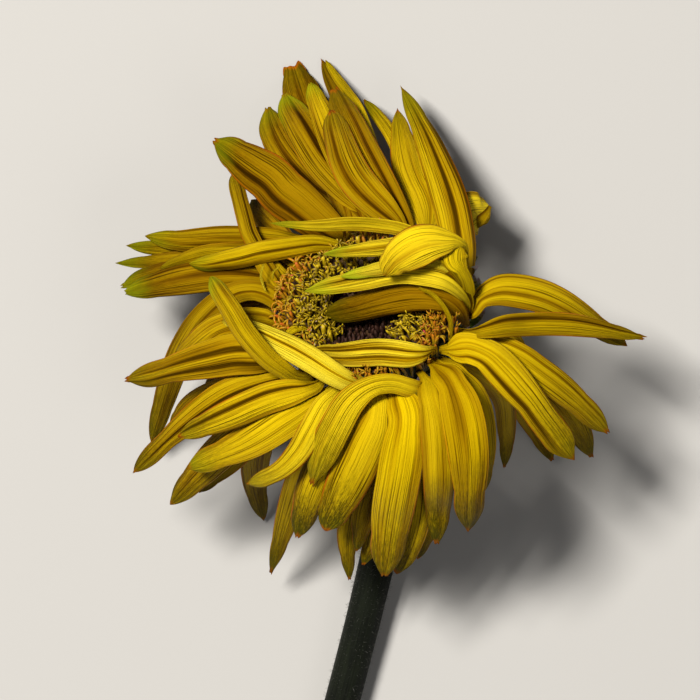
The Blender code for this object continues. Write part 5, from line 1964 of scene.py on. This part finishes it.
@dataclass
class Stem:
    """The stalk: a smooth round tube on the CAD stem's own line, with a cut end.

    A section of the CAD stem has the given number of points, and the tube has the given share
    of its girth.
    """

    sides: int = 48
    rows: int = 160
    section: int = 14
    girth_share: float = 0.985

    def build(self) -> bpy.types.Object:
        """Build the stem, from the head to the cut end.

        Returns:
            The stem.
        """
        points, near = node_mesh("stem")
        rings = node_rings(points, near, np.argsort(-points[:, 2])[:self.section].tolist())
        centres = np.array([ring.mean(0) for ring in rings])
        radii = np.array([[np.linalg.norm(ring - ring.mean(0), axis=1).mean()] for ring in rings])
        girth = curve_through(radii, self.rows)[:, 0] * self.girth_share
        shape = tube(curve_through(centres, self.rows), girth, self.sides)
        item = add_closed("stalk", shape, StemFinish("stalk").material())
        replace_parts(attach(item, BODY), "stem")
        return item


# ---- Studio ----


@dataclass
class Studio:
    """The camera above the flower, the pale floor and the soft lights.

    The aim, the width of the view and the sensor are in millimetres, the distance and the floor
    in metres.
    """

    aim: tuple[float, float, float] = (-4.2, -9.0, 0.0)
    view_width: float = 147.0
    distance: float = 6.0
    floor_size: float = 24.0
    sensor: float = 36.0
    sky: tuple[float, float, float, float] = (0.92, 0.94, 1.0, 1.0)
    sky_strength: float = 0.08

    def camera(self, head: Head) -> None:
        """Set a camera that looks straight down on the head from far away.

        Args:
            head: The flower's head.
        """
        data = bpy.data.cameras.new("camera")
        data.sensor_width = self.sensor
        data.lens = self.sensor * self.distance / (self.view_width * MM)
        data.clip_start = 0.1
        data.clip_end = 100.0
        item = bpy.data.objects.new("camera", data)
        target = head.place(self.aim)
        item.location = (target[0], target[1], head.centre[2] + self.distance)
        bpy.context.scene.collection.objects.link(item)
        bpy.context.scene.camera = item

    def floor(self) -> None:
        """Lay the floor."""
        half = self.floor_size / 2.0
        corners = np.array(((-half, -half, 0.0), (half, -half, 0.0), (half, half, 0.0), (-half, half, 0.0)))
        add_piece("floor", (corners, [(0, 1, 2, 3)], None), FloorFinish("floor").material())

    def light(self, name: str, spot: Sequence[float], size: float, power: float, colour: Colour,
              head: Head) -> None:
        """Hang one square soft light that faces the flower.

        Args:
            name: The light's name.
            spot: Its place in metres from the head.
            size: The length of its side in metres.
            power: Its power in watts.
            colour: Its colour.
            head: The flower's head.
        """
        data = bpy.data.lights.new(name, "AREA")
        data.size = size
        data.energy = power
        data.color = colour
        item = bpy.data.objects.new(name, data)
        item.location = Vector(head.centre) + Vector(spot)
        item.rotation_euler = (-Vector(spot)).to_track_quat("-Z", "Y").to_euler()
        bpy.context.scene.collection.objects.link(item)

    def build(self, head: Head) -> None:
        """Set up the camera, the floor, the lights and the surroundings.

        Args:
            head: The flower's head.
        """
        self.camera(head)
        self.floor()
        self.light("key", (-0.80, 0.60, 1.90), 0.50, 69.0, (1.0, 0.965, 0.91), head)
        self.light("fill", (0.90, -1.10, 1.60), 1.0, 5.0, (1.0, 0.97, 0.93), head)
        world = bpy.data.worlds.new("studio")
        bpy.context.scene.world = world
        world.use_nodes = True
        back = world.node_tree.nodes["Background"]
        back.inputs["Color"].default_value = self.sky
        back.inputs["Strength"].default_value = self.sky_strength
        bpy.context.scene.view_settings.view_transform = "Standard"


def main() -> None:
    """Build the whole flower and report its pieces."""
    logging.basicConfig(level=logging.INFO, format="%(message)s")
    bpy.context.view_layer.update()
    head = Head.from_frame()
    blades = Blades(head)
    pieces = []
    for group, looks in LOOKS.items():
        for number, ray in enumerate(looks, 1):
            name = f"{group}_{number:02d}"
            pieces.append(blades.dress("petal_" + name, ray, ROUTES.get(name)))
    pieces += [blades.extra(name, ray, route) for name, (ray, route) in EXTRAS.items()]
    pieces += Disc(head).build(pieces)
    bracts = Collar(head).build(blades)
    stalk = Stem().build()
    pieces += [*bracts, stalk, *Down().build(((stalk, 1.1e6, 0.9), (bracts[-1], 4.0e5, 0.8)))]
    for piece in pieces:
        LOG.info("%s: %d faces", piece.name, len(piece.data.polygons))
    Studio().build(head)


if __name__ == "__main__":
    main()
